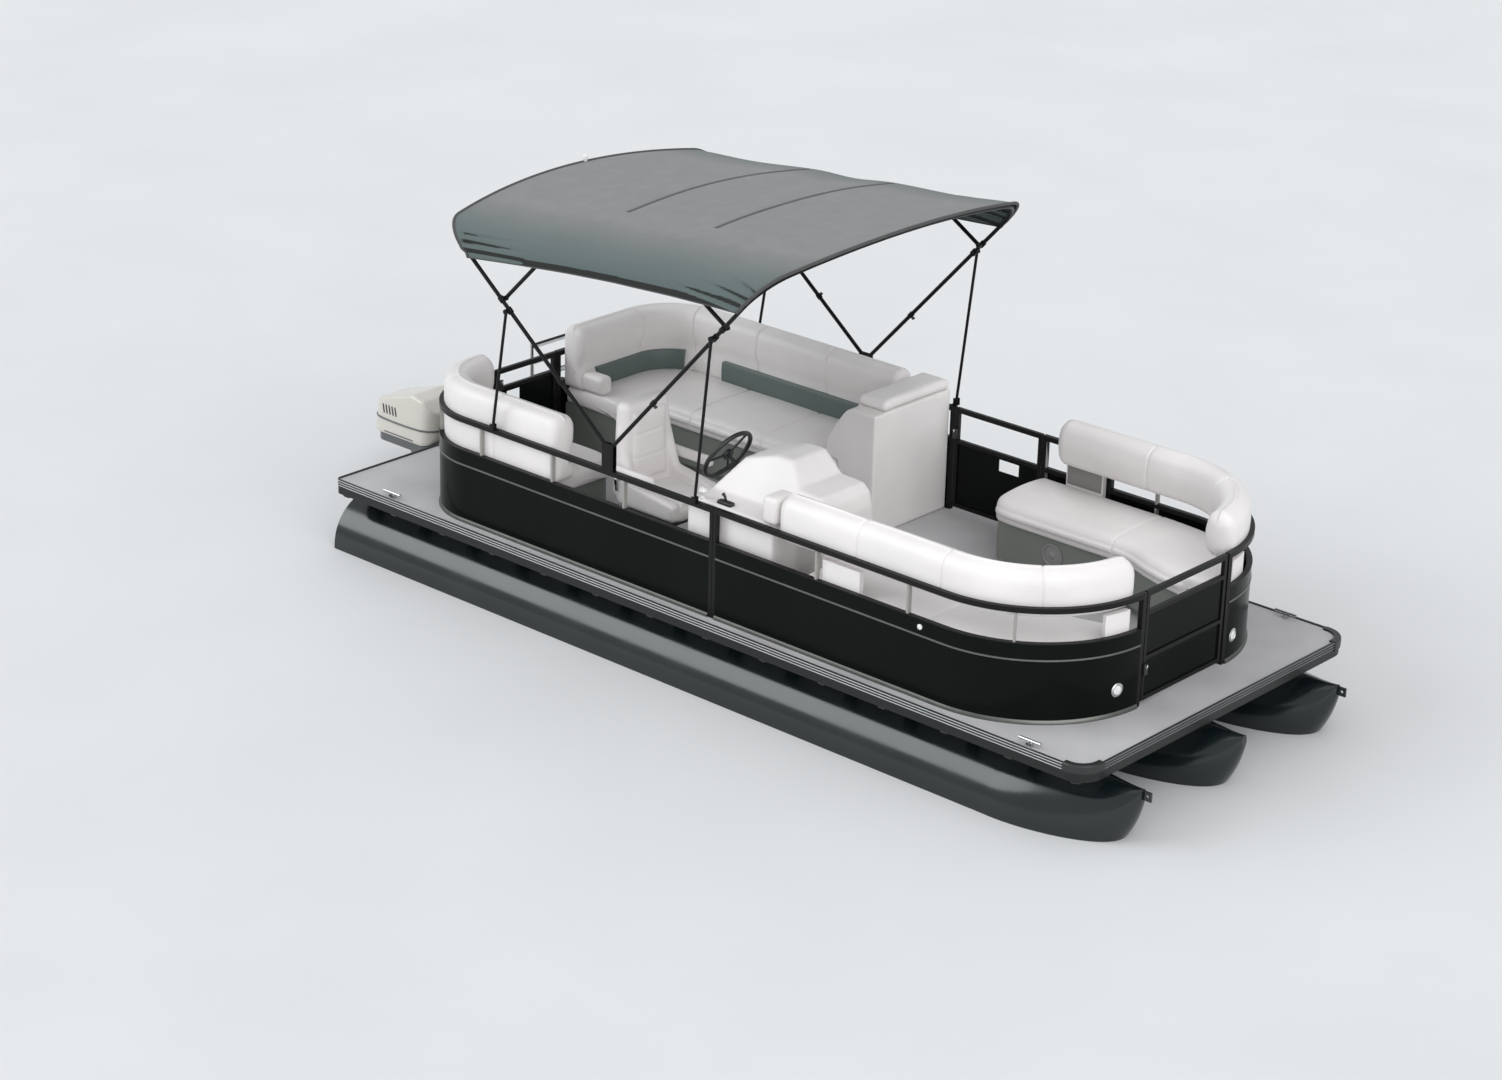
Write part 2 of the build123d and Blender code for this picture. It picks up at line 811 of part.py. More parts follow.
# Chair's side profile: distance ahead of the spindle, height above the chair's base, corner radius
chair_profile = [
    (-250, 0, 40),
    (270, 0, 50),
    (290, 120, 55),
    (-130, 130, 30),
    (-165, 670, 55),
    (-285, 670, 50),
]
with BuildPart() as chair:
    with BuildSketch(Plane.XZ.offset(-chair_y - 245)) as profile:
        with BuildLine():
            Polyline(*[(chair_x + x, chair_base + z) for x, z, radius in chair_profile], close=True)
        make_face()
        for x, z, radius in chair_profile:
            corner = profile.vertices().sort_by_distance((chair_x + x, chair_base + z, 0))[0]
            fillet(corner, radius)
    extrude(amount=490)
    sides = chair.faces().filter_by(Axis.Y)
    fillet(sides.edges(), 28)
    rod((chair_x, chair_y, deck_top + 130), (chair_x, chair_y, chair_base + 20), spindle_radius)
    block((chair_x - 200, chair_y - 200, plate_low), (chair_x + 200, chair_y + 200, chair_base + 5))
    for side in (-1, 1):
        edges = sorted((chair_y + side * 235, chair_y + side * 285))
        with BuildSketch(Plane.XZ.offset(-edges[1])) as arm:
            with BuildLine():
                Polyline(
                    (chair_x - 240, chair_base + 300),
                    (chair_x - 240, chair_base + 220),
                    (chair_x + 130, chair_base + 220),
                    (chair_x + 130, chair_base + 285),
                    close=True,
                )
            make_face()
            fillet(arm.vertices(), 28)
        extrude(amount=edges[1] - edges[0])
save(chair.part, "helm_chair")


# Canopy frame: each main bow turns on its own pin at the rail, smaller bows hang on clamps
def along(base, angle, distance):
    return base[0] + distance * cos(radians(angle)), base[1] + distance * sin(radians(angle))


pivot_fore = (pivot_x, pivot_z)
pivot_aft = (pivot_x - pivot_spacing, pivot_z)
aft_up = 180 - aft_angle
second_side = main_side - clamp_radius - eye_width / 2 - ear_gap_side
strut_side = main_side + clamp_radius + eye_width / 2 + ear_gap_side
aft_knuckle = along(pivot_aft, aft_up, knuckle_aft)
fore_knuckle = along(pivot_fore, fore_angle, knuckle_fore)
aft_strut_top = along(pivot_aft, aft_up, knuckle_aft - strut_drop)
fore_strut_top = along(pivot_fore, fore_angle, knuckle_fore - strut_drop)


def hoop(base, angle, half):
    """Bow in a plane raked about Y: legs up from base, rounded corners and a crown that meets the cloth."""
    climb = sin(radians(angle)) - canopy_slope * cos(radians(angle))
    crown = (canopy_crown * (half / canopy_side) ** 2 + crown_margin) / climb
    under = (bow_radius + cloth_gap) * hypot(1, canopy_slope)
    reach = (canopy_crown_z + canopy_slope * base[0] - under - base[1]) / climb - crown
    with BuildPart() as bow:
        with BuildLine() as path:
            Line((-half, 0), (-half, reach))
            ThreePointArc((-half, reach), (0, reach + crown), (half, reach))
            Line((half, reach), (half, 0))
            fillet(path.vertices().filter_by(lambda v: abs(v.Y - reach) < 1), bow_corner)
        with BuildSketch(Plane(origin=path.line @ 0, z_dir=path.line % 0)):
            Circle(bow_radius)
        sweep()
    up = Vector(cos(radians(angle)), 0, sin(radians(angle)))
    plane = Plane(origin=(base[0], 0, base[1]), x_dir=(0, 1, 0), z_dir=Vector(0, 1, 0).cross(up))
    return bow.part.moved(plane.location)


def eye(point, y):
    """Flat round end of a leg."""
    rod((point[0], y - eye_width / 2, point[1]), (point[0], y + eye_width / 2, point[1]), eye_radius)


def eye_hole(point, y):
    low, high = y - eye_width, y + eye_width
    rod((point[0], low, point[1]), (point[0], high, point[1]), pin_radius + pin_clearance, mode=Mode.SUBTRACT)


def clamp(base, angle, distance, y, tip):
    """Collar round a main leg with a pin that carries a smaller leg beside it."""
    start = along(base, angle, distance - clamp_length / 2)
    end = along(base, angle, distance + clamp_length / 2)
    middle = along(base, angle, distance)
    rod((start[0], y, start[1]), (end[0], y, end[1]), clamp_radius)
    rod((middle[0], y, middle[1]), (middle[0], tip, middle[1]), pin_radius)


pin_end = eye_width / 2 + 2
# Main bows: name, pivot, angle, distance of the knuckle along the leg
main_bows = [
    ("canopy_bow_aft", pivot_aft, aft_up, knuckle_aft),
    ("canopy_bow_fore", pivot_fore, fore_angle, knuckle_fore),
]
for name, pivot, angle, knuckle in main_bows:
    with BuildPart() as bow:
        add(hoop(pivot, angle, main_side))
        for side in (-1, 1):
            eye(pivot, side * main_side)
            clamp(pivot, angle, knuckle, side * main_side, side * (second_side - pin_end))
            clamp(pivot, angle, knuckle - strut_drop, side * main_side, side * (strut_side + pin_end))
        for side in (-1, 1):
            eye_hole(pivot, side * main_side)
    save(bow.part, name)

# Smaller bows: name, knuckle, angle
second_bows = [
    ("canopy_second_bow_aft", aft_knuckle, second_aft_angle),
    ("canopy_second_bow_fore", fore_knuckle, second_fore_angle),
]
for name, knuckle, angle in second_bows:
    with BuildPart() as bow:
        add(hoop(knuckle, angle, second_side))
        for side in (-1, 1):
            eye(knuckle, side * second_side)
        for side in (-1, 1):
            eye_hole(knuckle, side * second_side)
    save(bow.part, name)

# Struts: name, top end, X of the foot
foot_z = fence_top + foot_height
struts = [
    ("canopy_struts_aft", aft_strut_top, strut_foot_aft_x),
    ("canopy_struts_fore", fore_strut_top, strut_foot_fore_x),
]
for name, top, foot_x in struts:
    with BuildPart() as strut:
        for side in (-1, 1):
            y = side * strut_side
            rod((foot_x, y, foot_z), (top[0], y, top[1]), strut_radius)
            eye(top, y)
        for side in (-1, 1):
            eye_hole(top, side * strut_side)
    save(strut.part, name)

# Mounts on the top rail: a fork for both main pivots, and forks for the feet of the struts
ear_middle = eye_width / 2 + ear_gap_side + ear_thickness / 2
foot_ear = strut_radius + 2 + ear_thickness / 2
with BuildPart() as mounts:
    for side in (-1, 1):
        y = side * main_side
        aft, fore = pivot_aft[0] - 24, pivot_fore[0] + 24
        block((aft, y - ear_middle, fence_top), (fore, y + ear_middle, fence_top + 6))
        for ear in (-1, 1):
            ear_y = y + ear * ear_middle
            block((aft, ear_y - ear_thickness / 2, fence_top), (fore, ear_y + ear_thickness / 2, pivot_z + 20))
        for pivot in (pivot_aft, pivot_fore):
            rod((pivot[0], y - ear_middle, pivot[1]), (pivot[0], y + ear_middle, pivot[1]), pin_radius)
        for foot_x in (strut_foot_aft_x, strut_foot_fore_x):
            foot_y = side * strut_side
            edges = sorted((y, foot_y + side * foot_ear))
            block((foot_x - 20, edges[0], fence_top), (foot_x + 20, edges[1], fence_top + 6))
            for ear in (-1, 1):
                ear_y = foot_y + ear * foot_ear
                low, high = ear_y - ear_thickness / 2, ear_y + ear_thickness / 2
                block((foot_x - 16, low, fence_top), (foot_x + 16, high, foot_z + 14))
save(mounts.part, "canopy_mounts")


# Canopy: one crowned sheet, cut at the planes of the two main bows
def canopy_profile(grow):
    half = canopy_side + grow
    top = grow
    with BuildSketch() as profile:
        with BuildLine() as line:
            Line((-half, -canopy_drop), (-half, -canopy_crown + top))
            ThreePointArc((-half, -canopy_crown + top), (0, top), (half, -canopy_crown + top))
            Line((half, -canopy_crown + top), (half, -canopy_drop))
            fillet(line.vertices().filter_by(lambda v: abs(v.Y + canopy_crown - top) < 1), canopy_corner + grow)
            Line((half, -canopy_drop), (-half, -canopy_drop))
        make_face()
    return profile.sketch


canopy_start_x = -2600
canopy_run = 3700
start_z = canopy_crown_z + canopy_slope * canopy_start_x
aft_rake = Vector(cos(radians(aft_up)), 0, sin(radians(aft_up)))
fore_rake = Vector(cos(radians(fore_angle)), 0, sin(radians(fore_angle)))
with BuildPart() as canopy:
    with BuildSketch(Plane(origin=(canopy_start_x, 0, start_z), x_dir=(0, 1, 0), z_dir=(1, 0, 0))):
        add(canopy_profile(canopy_thickness))
        add(canopy_profile(0), mode=Mode.SUBTRACT)
    extrude(dir=(1, 0, canopy_slope), amount=canopy_run)
    aft_origin = (pivot_aft[0], 0, pivot_aft[1])
    fore_origin = (pivot_fore[0], 0, pivot_fore[1])
    split(bisect_by=Plane(aft_origin, x_dir=(0, 1, 0), z_dir=aft_rake.cross(Vector(0, -1, 0))))
    split(bisect_by=Plane(fore_origin, x_dir=(0, 1, 0), z_dir=fore_rake.cross(Vector(0, 1, 0))))
save(canopy.part, "canopy")


# Outboard engine: clamp bracket, swivel, leg, cowl and propeller
ear_gap = 80
with BuildPart() as engine_bracket:
    for side in (-1, 1):
        inner, outer = sorted((side * ear_gap, side * (ear_gap + 22)))
        block((transom_x - 70, inner, transom_top - 260), (transom_x - 1, outer, transom_top + 20))
        rod((tilt_x, inner, tilt_z), (tilt_x, outer, tilt_z), 30)
        block((transom_x - 1, inner, transom_top), (transom_x + transom_thickness, outer, transom_top + 20))
    rod((tilt_x, -ear_gap - 30, tilt_z), (tilt_x, ear_gap + 30, tilt_z), 14)
save(engine_bracket.part, "engine_bracket")

with BuildPart() as engine_swivel:
    rod((tilt_x, -ear_gap + 1, tilt_z), (tilt_x, ear_gap - 1, tilt_z), 26)
    block((steer_x, -50, tilt_z - 60), (tilt_x, 50, tilt_z + 10))
    rod((steer_x, 0, -90), (steer_x, 0, tilt_z + 10), swivel_radius)
    rod((tilt_x, -ear_gap, tilt_z), (tilt_x, ear_gap, tilt_z), 14 + running_clearance, mode=Mode.SUBTRACT)
    rod((steer_x, 0, -100), (steer_x, 0, tilt_z + 40), kingpin_radius + running_clearance, mode=Mode.SUBTRACT)
save(engine_swivel.part, "engine_swivel")

# Leg sections: height, middle along X, half length, half width
leg_sections = [
    (cowl_low - 60, steer_x - 225, 165, 95),
    (0, steer_x - 170, 120, 60),
    (prop_z + 40, steer_x - 180, 110, 34),
]
leg_fore = steer_x - swivel_radius - 8
with BuildPart() as engine_leg:
    rod((steer_x, 0, -110), (steer_x, 0, cowl_low - 40), kingpin_radius)
    block((steer_x - 120, -45, tilt_z + 12), (steer_x + 25, 45, tilt_z + 40))
    block((steer_x - 110, -35, -130), (steer_x + 25, 35, -92))
    for z, x, half, wide in leg_sections:
        with BuildSketch(Plane.XY.offset(z)):
            with Locations((x, 0)):
                Ellipse(half, wide)
    loft()
    block((leg_fore - 330, -95, tube_z - tube_radius - 6), (leg_fore - 20, 95, tube_z - tube_radius + 4))
    with BuildSketch(Plane.YZ.offset(prop_x + 62)):
        with Locations((0, prop_z)):
            Circle(52)
    with BuildSketch(Plane.YZ.offset(prop_x + 300)):
        with Locations((0, prop_z)):
            Circle(56)
    with BuildSketch(Plane.YZ.offset(prop_x + 400)):
        with Locations((0, prop_z)):
            Circle(16)
    loft()
    with BuildSketch(Plane.XZ.offset(-7)):
        with BuildLine():
            Polyline(
                (prop_x + 110, prop_z - 30),
                (prop_x + 330, prop_z - 30),
                (prop_x + 200, prop_z - 170),
                (prop_x + 130, prop_z - 170),
                close=True,
            )
        make_face()
    extrude(amount=14)
    rod((prop_x - 45, 0, prop_z), (prop_x + 80, 0, prop_z), 12)
save(engine_leg.part, "engine_leg")

with BuildPart() as engine_pan:
    block(
        (cowl_fore - cowl_length + 30, -cowl_width / 2 + 20, cowl_low - 60),
        (cowl_fore - 10, cowl_width / 2 - 20, cowl_low),
    )
    fillet(engine_pan.edges().filter_by(Axis.Z), 90)
    add(engine_leg.part, mode=Mode.SUBTRACT)
save(engine_pan.part, "engine_pan")

# Cowl's side profile: distance behind its fore face, height above its foot, corner radius
cowl_profile = [
    (0, 0, 0),
    (12, 225, 60),
    (95, 308, 80),
    (203, cowl_peak, 120),
    (cowl_length - 5, cowl_tail, 60),
    (cowl_length + 12, 0, 0),
]
with BuildPart() as engine_cowl:
    with BuildSketch(Plane.XZ.offset(-cowl_width / 2)) as profile:
        with BuildLine():
            Polyline(*[(cowl_fore - x, cowl_low + z) for x, z, radius in cowl_profile], close=True)
        make_face()
        for x, z, radius in cowl_profile:
            if radius:
                corner = profile.vertices().sort_by_distance((cowl_fore - x, cowl_width / 2, cowl_low + z))[0]
                fillet(corner, radius)
    extrude(amount=cowl_width)
    with BuildSketch(Plane.XY.offset(cowl_low)):
        with Locations((cowl_fore - cowl_length / 2, 0)):
            RectangleRounded(cowl_length + 24, cowl_width, 120)
    extrude(amount=cowl_peak + 10, taper=7, mode=Mode.INTERSECT)
save(engine_cowl.part, "engine_cowl")

hub_radius = 46
with BuildPart() as propeller:
    rod((prop_x - 50, 0, prop_z), (prop_x + 55, 0, prop_z), hub_radius)
    for i in range(blade_count):
        turn = 360 * i / blade_count
        direction = Vector(0, cos(radians(turn)), sin(radians(turn)))
        plane = Plane(origin=(prop_x, 0, prop_z), x_dir=(1, 0, 0), z_dir=direction)
        blade_plane = plane.rotated((0, 0, 32))
        with BuildSketch(blade_plane.offset(hub_radius - 8)):
            Ellipse(36, 6)
        with BuildSketch(blade_plane.offset(prop_radius * 0.62)):
            Ellipse(50, 4.5)
        with BuildSketch(blade_plane.offset(prop_radius)):
            Ellipse(28, 2.5)
        loft()
    rod((prop_x - 60, 0, prop_z), (prop_x + 60, 0, prop_z), 12 + running_clearance, mode=Mode.SUBTRACT)
save(propeller.part, "propeller")


# Boarding ladder at the stern: fixed handrail and folding steps
with BuildPart() as handrail:
    rail_x = stern_edge + 45
    low, high = ladder_y - handrail_half, ladder_y + handrail_half
    with BuildLine() as path:
        Polyline((rail_x, low, deck_top), (rail_x, low, deck_top + handrail_height))
        Line((rail_x, low, deck_top + handrail_height), (rail_x, high, deck_top + handrail_height))
        Line((rail_x, high, deck_top + handrail_height), (rail_x, high, deck_top))
    with BuildSketch(Plane(origin=path.line @ 0, z_dir=path.line % 0)):
        Circle(ladder_tube)
    sweep(transition=Transition.ROUND)
save(handrail.part, "ladder_handrail")

hinge_z = deck_top - 35
with BuildPart() as ladder_arms:
    for side in (-1, 1):
        y = ladder_y + side * (ladder_half + 24)
        block((ladder_x - 16, y - 5, hinge_z - 16), (stern_edge, y + 5, hinge_z + 16))
        block((stern_edge - 6, y - 22, hinge_z - 30), (stern_edge, y + 22, hinge_z + 30))
        rod((ladder_x, y - side * 30, hinge_z), (ladder_x, y + side * 5, hinge_z), pin_radius)
save(ladder_arms.part, "ladder_arms")

with BuildPart() as ladder:
    for side in (-1, 1):
        y = ladder_y + side * ladder_half
        rod((ladder_x, y, hinge_z - 14), (ladder_x, y, hinge_z + ladder_length), ladder_tube)
    for i in range(1, 5):
        z = hinge_z + i * (ladder_length - 20) / 4
        block((ladder_x - 22, ladder_y - ladder_half, z - 9), (ladder_x + 22, ladder_y + ladder_half, z + 9))
    for side in (-1, 1):
        y = ladder_y + side * ladder_half
        rod((ladder_x, y - 20, hinge_z), (ladder_x, y + 20, hinge_z), pin_radius + pin_clearance, mode=Mode.SUBTRACT)
save(ladder.part, "ladder")

# Mooring cleats on the deck corners
with BuildPart() as cleats:
    for x in (stern_edge + 500, bow_edge - 420):
        for side in (-1, 1):
            y = side * (half_width - 45)
            block((x - 18, y - 14, deck_top), (x - 8, y + 14, deck_top + 26))
            block((x + 8, y - 14, deck_top), (x + 18, y + 14, deck_top + 26))
            rod((x - 75, y, deck_top + 34), (x + 75, y, deck_top + 34), 10)
save(cleats.part, "cleats")
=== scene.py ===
"""Looks of a three-tube pontoon boat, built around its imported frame."""

from math import atan2, cos, exp, hypot, pi, radians, sin, sqrt

import bmesh
import bpy
from mathutils import Matrix, Vector
from mathutils.bvhtree import BVHTree
from mathutils.noise import noise


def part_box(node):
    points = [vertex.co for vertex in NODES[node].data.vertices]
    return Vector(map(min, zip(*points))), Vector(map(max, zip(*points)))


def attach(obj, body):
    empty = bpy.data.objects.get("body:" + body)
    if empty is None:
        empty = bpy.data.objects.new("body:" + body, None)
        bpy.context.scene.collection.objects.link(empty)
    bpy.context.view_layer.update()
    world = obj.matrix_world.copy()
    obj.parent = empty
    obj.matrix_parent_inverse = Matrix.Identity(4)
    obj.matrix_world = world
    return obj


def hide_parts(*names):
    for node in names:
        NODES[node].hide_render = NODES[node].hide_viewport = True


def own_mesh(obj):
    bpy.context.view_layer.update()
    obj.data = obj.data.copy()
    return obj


bl_info = {
    "name": "Pontoon boat",
    "version": (1, 0, 0),
    "blender": (4, 5, 0),
    "location": "3D View > Sidebar > Boat",
    "description": "Dresses the packed frame of a pontoon boat in its finishes",
    "category": "Object",
}

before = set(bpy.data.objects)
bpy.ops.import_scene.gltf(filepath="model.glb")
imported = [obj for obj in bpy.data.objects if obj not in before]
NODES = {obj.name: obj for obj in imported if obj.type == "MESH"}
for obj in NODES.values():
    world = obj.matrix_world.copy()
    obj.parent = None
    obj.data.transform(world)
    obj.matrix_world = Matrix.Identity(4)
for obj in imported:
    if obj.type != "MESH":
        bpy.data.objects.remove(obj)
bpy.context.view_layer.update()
UP = Vector((0, 0, 1))

# Places taken from the frame
FENCE_LOW, FENCE_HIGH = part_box("fence_frame_starboard_bow")
TRIM_LOW, TRIM_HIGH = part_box("deck_trim")
CONSOLE_LOW, CONSOLE_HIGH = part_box("helm_console")
FENCE_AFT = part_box("fence_frame_starboard_aft")[0].x
FENCE_FORE = FENCE_HIGH.x
FENCE_SIDE = -FENCE_LOW.y
FENCE_TOP = FENCE_HIGH.z
DECK_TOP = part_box("deck")[1].z
PANEL_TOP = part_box("fence_panel_starboard_bow")[1].z
COUCH_ROLL = tuple(corner.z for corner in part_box("port_couch_back"))
LOUNGE_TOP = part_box("port_lounge_back")[1].z

# Sizes of the part that its boxes don't give
AFT_RADIUS = 0.5
BOW_RADIUS = 0.8
RAIL = 0.032
SEAT_LOW, SEAT_HIGH = 0.83, 0.95
COUCH_FRONT = 0.6
BOW_MOUTH = 0.44
FENCE_MOUTH = 0.432
PORT_AFT_FENCE_END = 0.14
STARBOARD_AFT_FENCE_END = 0.482

# Clearances of the soft parts
SEAT_GAP = 0.0003
BLOCK_GAP = 0.0005
BACK_INSET = RAIL + SEAT_GAP
CUSHION_INSET = BACK_INSET + 0.0363


class BoatSizes(bpy.types.PropertyGroup):
    """Sizes that shape the soft parts and the trim."""

    seam_spacing: bpy.props.FloatProperty(
        name="Seam spacing",
        description="Distance between the cross seams of the seat backs",
        default=0.62,
        min=0.2,
        unit="LENGTH",
    )
    cushion_crown: bpy.props.FloatProperty(
        name="Cushion crown",
        description="Rise of a seat cushion between its seams",
        default=0.012,
        min=0.0,
        max=0.03,
        unit="LENGTH",
    )
    canopy_sag: bpy.props.FloatProperty(
        name="Canopy sag",
        description="Dip of the cloth between two bows",
        default=0.012,
        min=0.0,
        max=0.05,
        unit="LENGTH",
    )
    pinstripe_height: bpy.props.FloatProperty(
        name="Trim line height",
        description="Height of the light trim line above the waterline",
        default=0.887,
        unit="LENGTH",
    )


class BoatColours(bpy.types.PropertyGroup):
    """Colours of the finishes."""

    vinyl: bpy.props.FloatVectorProperty(
        name="Seat vinyl",
        description="White of the seats",
        default=(0.82, 0.785, 0.775),
        subtype="COLOR",
    )
    accent: bpy.props.FloatVectorProperty(
        name="Accent vinyl",
        description="Grey-green of the accents",
        default=(0.115, 0.150, 0.142),
        subtype="COLOR",
    )
    skin: bpy.props.FloatVectorProperty(
        name="Fence sheet",
        description="Paint of the fence sheets",
        default=(0.0035, 0.0050, 0.0042),
        subtype="COLOR",
    )
    canvas: bpy.props.FloatVectorProperty(
        name="Canvas",
        description="Cloth of the canopy",
        default=(0.235, 0.232, 0.232),
        subtype="COLOR",
    )
    tube: bpy.props.FloatVectorProperty(
        name="Tube paint",
        description="Paint of the tubes",
        default=(0.006, 0.010, 0.011),
        subtype="COLOR",
    )
    deck: bpy.props.FloatVectorProperty(
        name="Deck floor",
        description="Vinyl floor of the deck",
        default=(0.52, 0.512, 0.522),
        subtype="COLOR",
    )


# Shader node groups that several materials share
def new_group(name, inputs, outputs):
    """Empty group that takes a vector and named values: the group, its entry and its exit."""
    group = bpy.data.node_groups.new(name, "ShaderNodeTree")
    interface = group.interface
    interface.new_socket(name="Vector", in_out="INPUT", socket_type="NodeSocketVector")
    for label, default in inputs.items():
        socket = interface.new_socket(name=label, in_out="INPUT", socket_type="NodeSocketFloat")
        socket.default_value = default
    for label in outputs:
        interface.new_socket(name=label, in_out="OUTPUT", socket_type="NodeSocketFloat")
    return group, group.nodes.new("NodeGroupInput"), group.nodes.new("NodeGroupOutput")


def noise_node(tree, scale, detail=2.0):
    """Noise texture at a fixed scale."""
    cloud = tree.nodes.new("ShaderNodeTexNoise")
    cloud.inputs["Scale"].default_value = scale
    cloud.inputs["Detail"].default_value = detail
    return cloud


def math_node(tree, operation, *values):
    """Result of a sum on sockets and plain numbers."""
    node = tree.nodes.new("ShaderNodeMath")
    node.operation = operation
    for socket, value in zip(node.inputs, values):
        if isinstance(value, (int, float)):
            socket.default_value = value
        else:
            tree.links.new(value, socket)
    return node.outputs[0]


def grain_group():
    """Fine pebbled grain: a height and a mottled mask."""
    if "Grain" in bpy.data.node_groups:
        return bpy.data.node_groups["Grain"]
    group, entry, leave = new_group("Grain", {"Scale": 400.0, "Mottle": 4.0}, ("Height", "Mask"))
    cells = group.nodes.new("ShaderNodeTexVoronoi")
    cells.feature = "SMOOTH_F1"
    cloud = noise_node(group, 1.0, 4.0)
    for texture, scale in ((cells, "Scale"), (cloud, "Mottle")):
        group.links.new(entry.outputs["Vector"], texture.inputs["Vector"])
        group.links.new(entry.outputs[scale], texture.inputs["Scale"])
    group.links.new(cells.outputs["Distance"], leave.inputs["Height"])
    group.links.new(cloud.outputs["Fac"], leave.inputs["Mask"])
    return group


def weave_group():
    """Plain weave of crossing threads: a height and a thread mask."""
    if "Weave" in bpy.data.node_groups:
        return bpy.data.node_groups["Weave"]
    group, entry, leave = new_group("Weave", {"Threads": 320.0}, ("Height", "Mask"))
    waves = []
    for direction in ("X", "Y"):
        wave = group.nodes.new("ShaderNodeTexWave")
        wave.bands_direction = direction
        wave.inputs["Distortion"].default_value = 0.4
        group.links.new(entry.outputs["Vector"], wave.inputs["Vector"])
        group.links.new(entry.outputs["Threads"], wave.inputs["Scale"])
        waves.append(wave.outputs["Fac"])
    cloud = noise_node(group, 9.0)
    group.links.new(entry.outputs["Vector"], cloud.inputs["Vector"])
    group.links.new(math_node(group, "MAXIMUM", *waves), leave.inputs["Height"])
    group.links.new(cloud.outputs["Fac"], leave.inputs["Mask"])
    return group


def weather_group():
    """Weathering and dust: long soft streaks that run down, and fine specks."""
    if "Weather" in bpy.data.node_groups:
        return bpy.data.node_groups["Weather"]
    group, entry, leave = new_group("Weather", {}, ("Streaks", "Specks"))
    stretch = group.nodes.new("ShaderNodeMapping")
    stretch.inputs["Scale"].default_value = (3.0, 3.0, 0.8)
    streaks = noise_node(group, 0.9, 3.0)
    specks = noise_node(group, 220.0)
    group.links.new(entry.outputs["Vector"], stretch.inputs["Vector"])
    group.links.new(stretch.outputs["Vector"], streaks.inputs["Vector"])
    group.links.new(entry.outputs["Vector"], specks.inputs["Vector"])
    group.links.new(streaks.outputs["Fac"], leave.inputs["Streaks"])
    group.links.new(specks.outputs["Fac"], leave.inputs["Specks"])
    return group


# Materials
COAT_ROUGHNESS = 0.08
# Distances from the boat's middle between which the canopy's top tone fades into the painted shade
# of its sides
FADE_START = 0.72
FADE_END = 1.2


def start_material(name, roughness, metallic=0.0, coat=0.0, sheen=0.0, specular=0.5):
    """New material with its shader's plain values set, and its object coordinates."""
    material = bpy.data.materials.new(name)
    material.use_nodes = True
    tree = material.node_tree
    shader = tree.nodes["Principled BSDF"]
    shader.inputs["Roughness"].default_value = roughness
    shader.inputs["Metallic"].default_value = metallic
    shader.inputs["Coat Weight"].default_value = coat
    shader.inputs["Coat Roughness"].default_value = COAT_ROUGHNESS
    shader.inputs["Sheen Weight"].default_value = sheen
    shader.inputs["Specular IOR Level"].default_value = specular
    coords = tree.nodes.new("ShaderNodeTexCoord").outputs["Object"]
    return material, tree, shader, coords


def use_group(tree, group, coords, **values):
    """A shared group placed in a material, with its own values."""
    node = tree.nodes.new("ShaderNodeGroup")
    node.node_tree = group
    tree.links.new(coords, node.inputs["Vector"])
    for name, value in values.items():
        node.inputs[name].default_value = value
    return node


def shade(colour, factor):
    """A colour made darker or lighter, none of its channels over 1."""
    return tuple(min(1.0, channel * factor) for channel in colour)


def colour_ramp(tree, factor, stops):
    """Colour between stops of (position, colour) along a mask."""
    ramp = tree.nodes.new("ShaderNodeValToRGB")
    tree.links.new(factor, ramp.inputs["Fac"])
    for element, (position, colour) in zip(ramp.color_ramp.elements, stops):
        element.position = position
        element.color = (*colour, 1)
    return ramp.outputs["Color"]


def mottled(tree, mask, colour, *stops):
    """One colour that wanders between two shades along a mask; stops are (position, shade)."""
    shades = [(position, shade(colour, factor)) for position, factor in stops]
    return colour_ramp(tree, mask, shades)


def paint_with(tree, shader, tone):
    """The shader's base colour from a tone."""
    tree.links.new(tone, shader.inputs["Base Color"])


def map_range(tree, value, **limits):
    """A value carried from one range to another; limits are From or To with Min or Max."""
    node = tree.nodes.new("ShaderNodeMapRange")
    for name, limit in limits.items():
        node.inputs[name.replace("_", " ")].default_value = limit
    tree.links.new(value, node.inputs["Value"])
    return node.outputs["Result"]


def rough_range(tree, shader, mask, low, high):
    """Roughness between two values along a mask."""
    tree.links.new(map_range(tree, mask, To_Min=low, To_Max=high), shader.inputs["Roughness"])


def bump(tree, shader, height, strength, distance):
    """Fine relief from a height."""
    node = tree.nodes.new("ShaderNodeBump")
    node.inputs["Strength"].default_value = strength
    node.inputs["Distance"].default_value = distance
    tree.links.new(height, node.inputs["Height"])
    tree.links.new(node.outputs["Normal"], shader.inputs["Normal"])


def vinyl_material(name, colour):
    """Soft marine vinyl with a pebbled grain."""
    roughness = 0.42
    material, tree, shader, coords = start_material(name, roughness, coat=0.05, specular=0.4)
    grain = use_group(tree, grain_group(), coords, Scale=420.0, Mottle=3.0)
    mask = grain.outputs["Mask"]
    paint_with(tree, shader, mottled(tree, mask, colour, (0.3, 0.95), (0.7, 1.03)))
    rough_range(tree, shader, mask, roughness - 0.06, roughness + 0.08)
    bump(tree, shader, grain.outputs["Height"], 0.25, 0.0006)
    return material


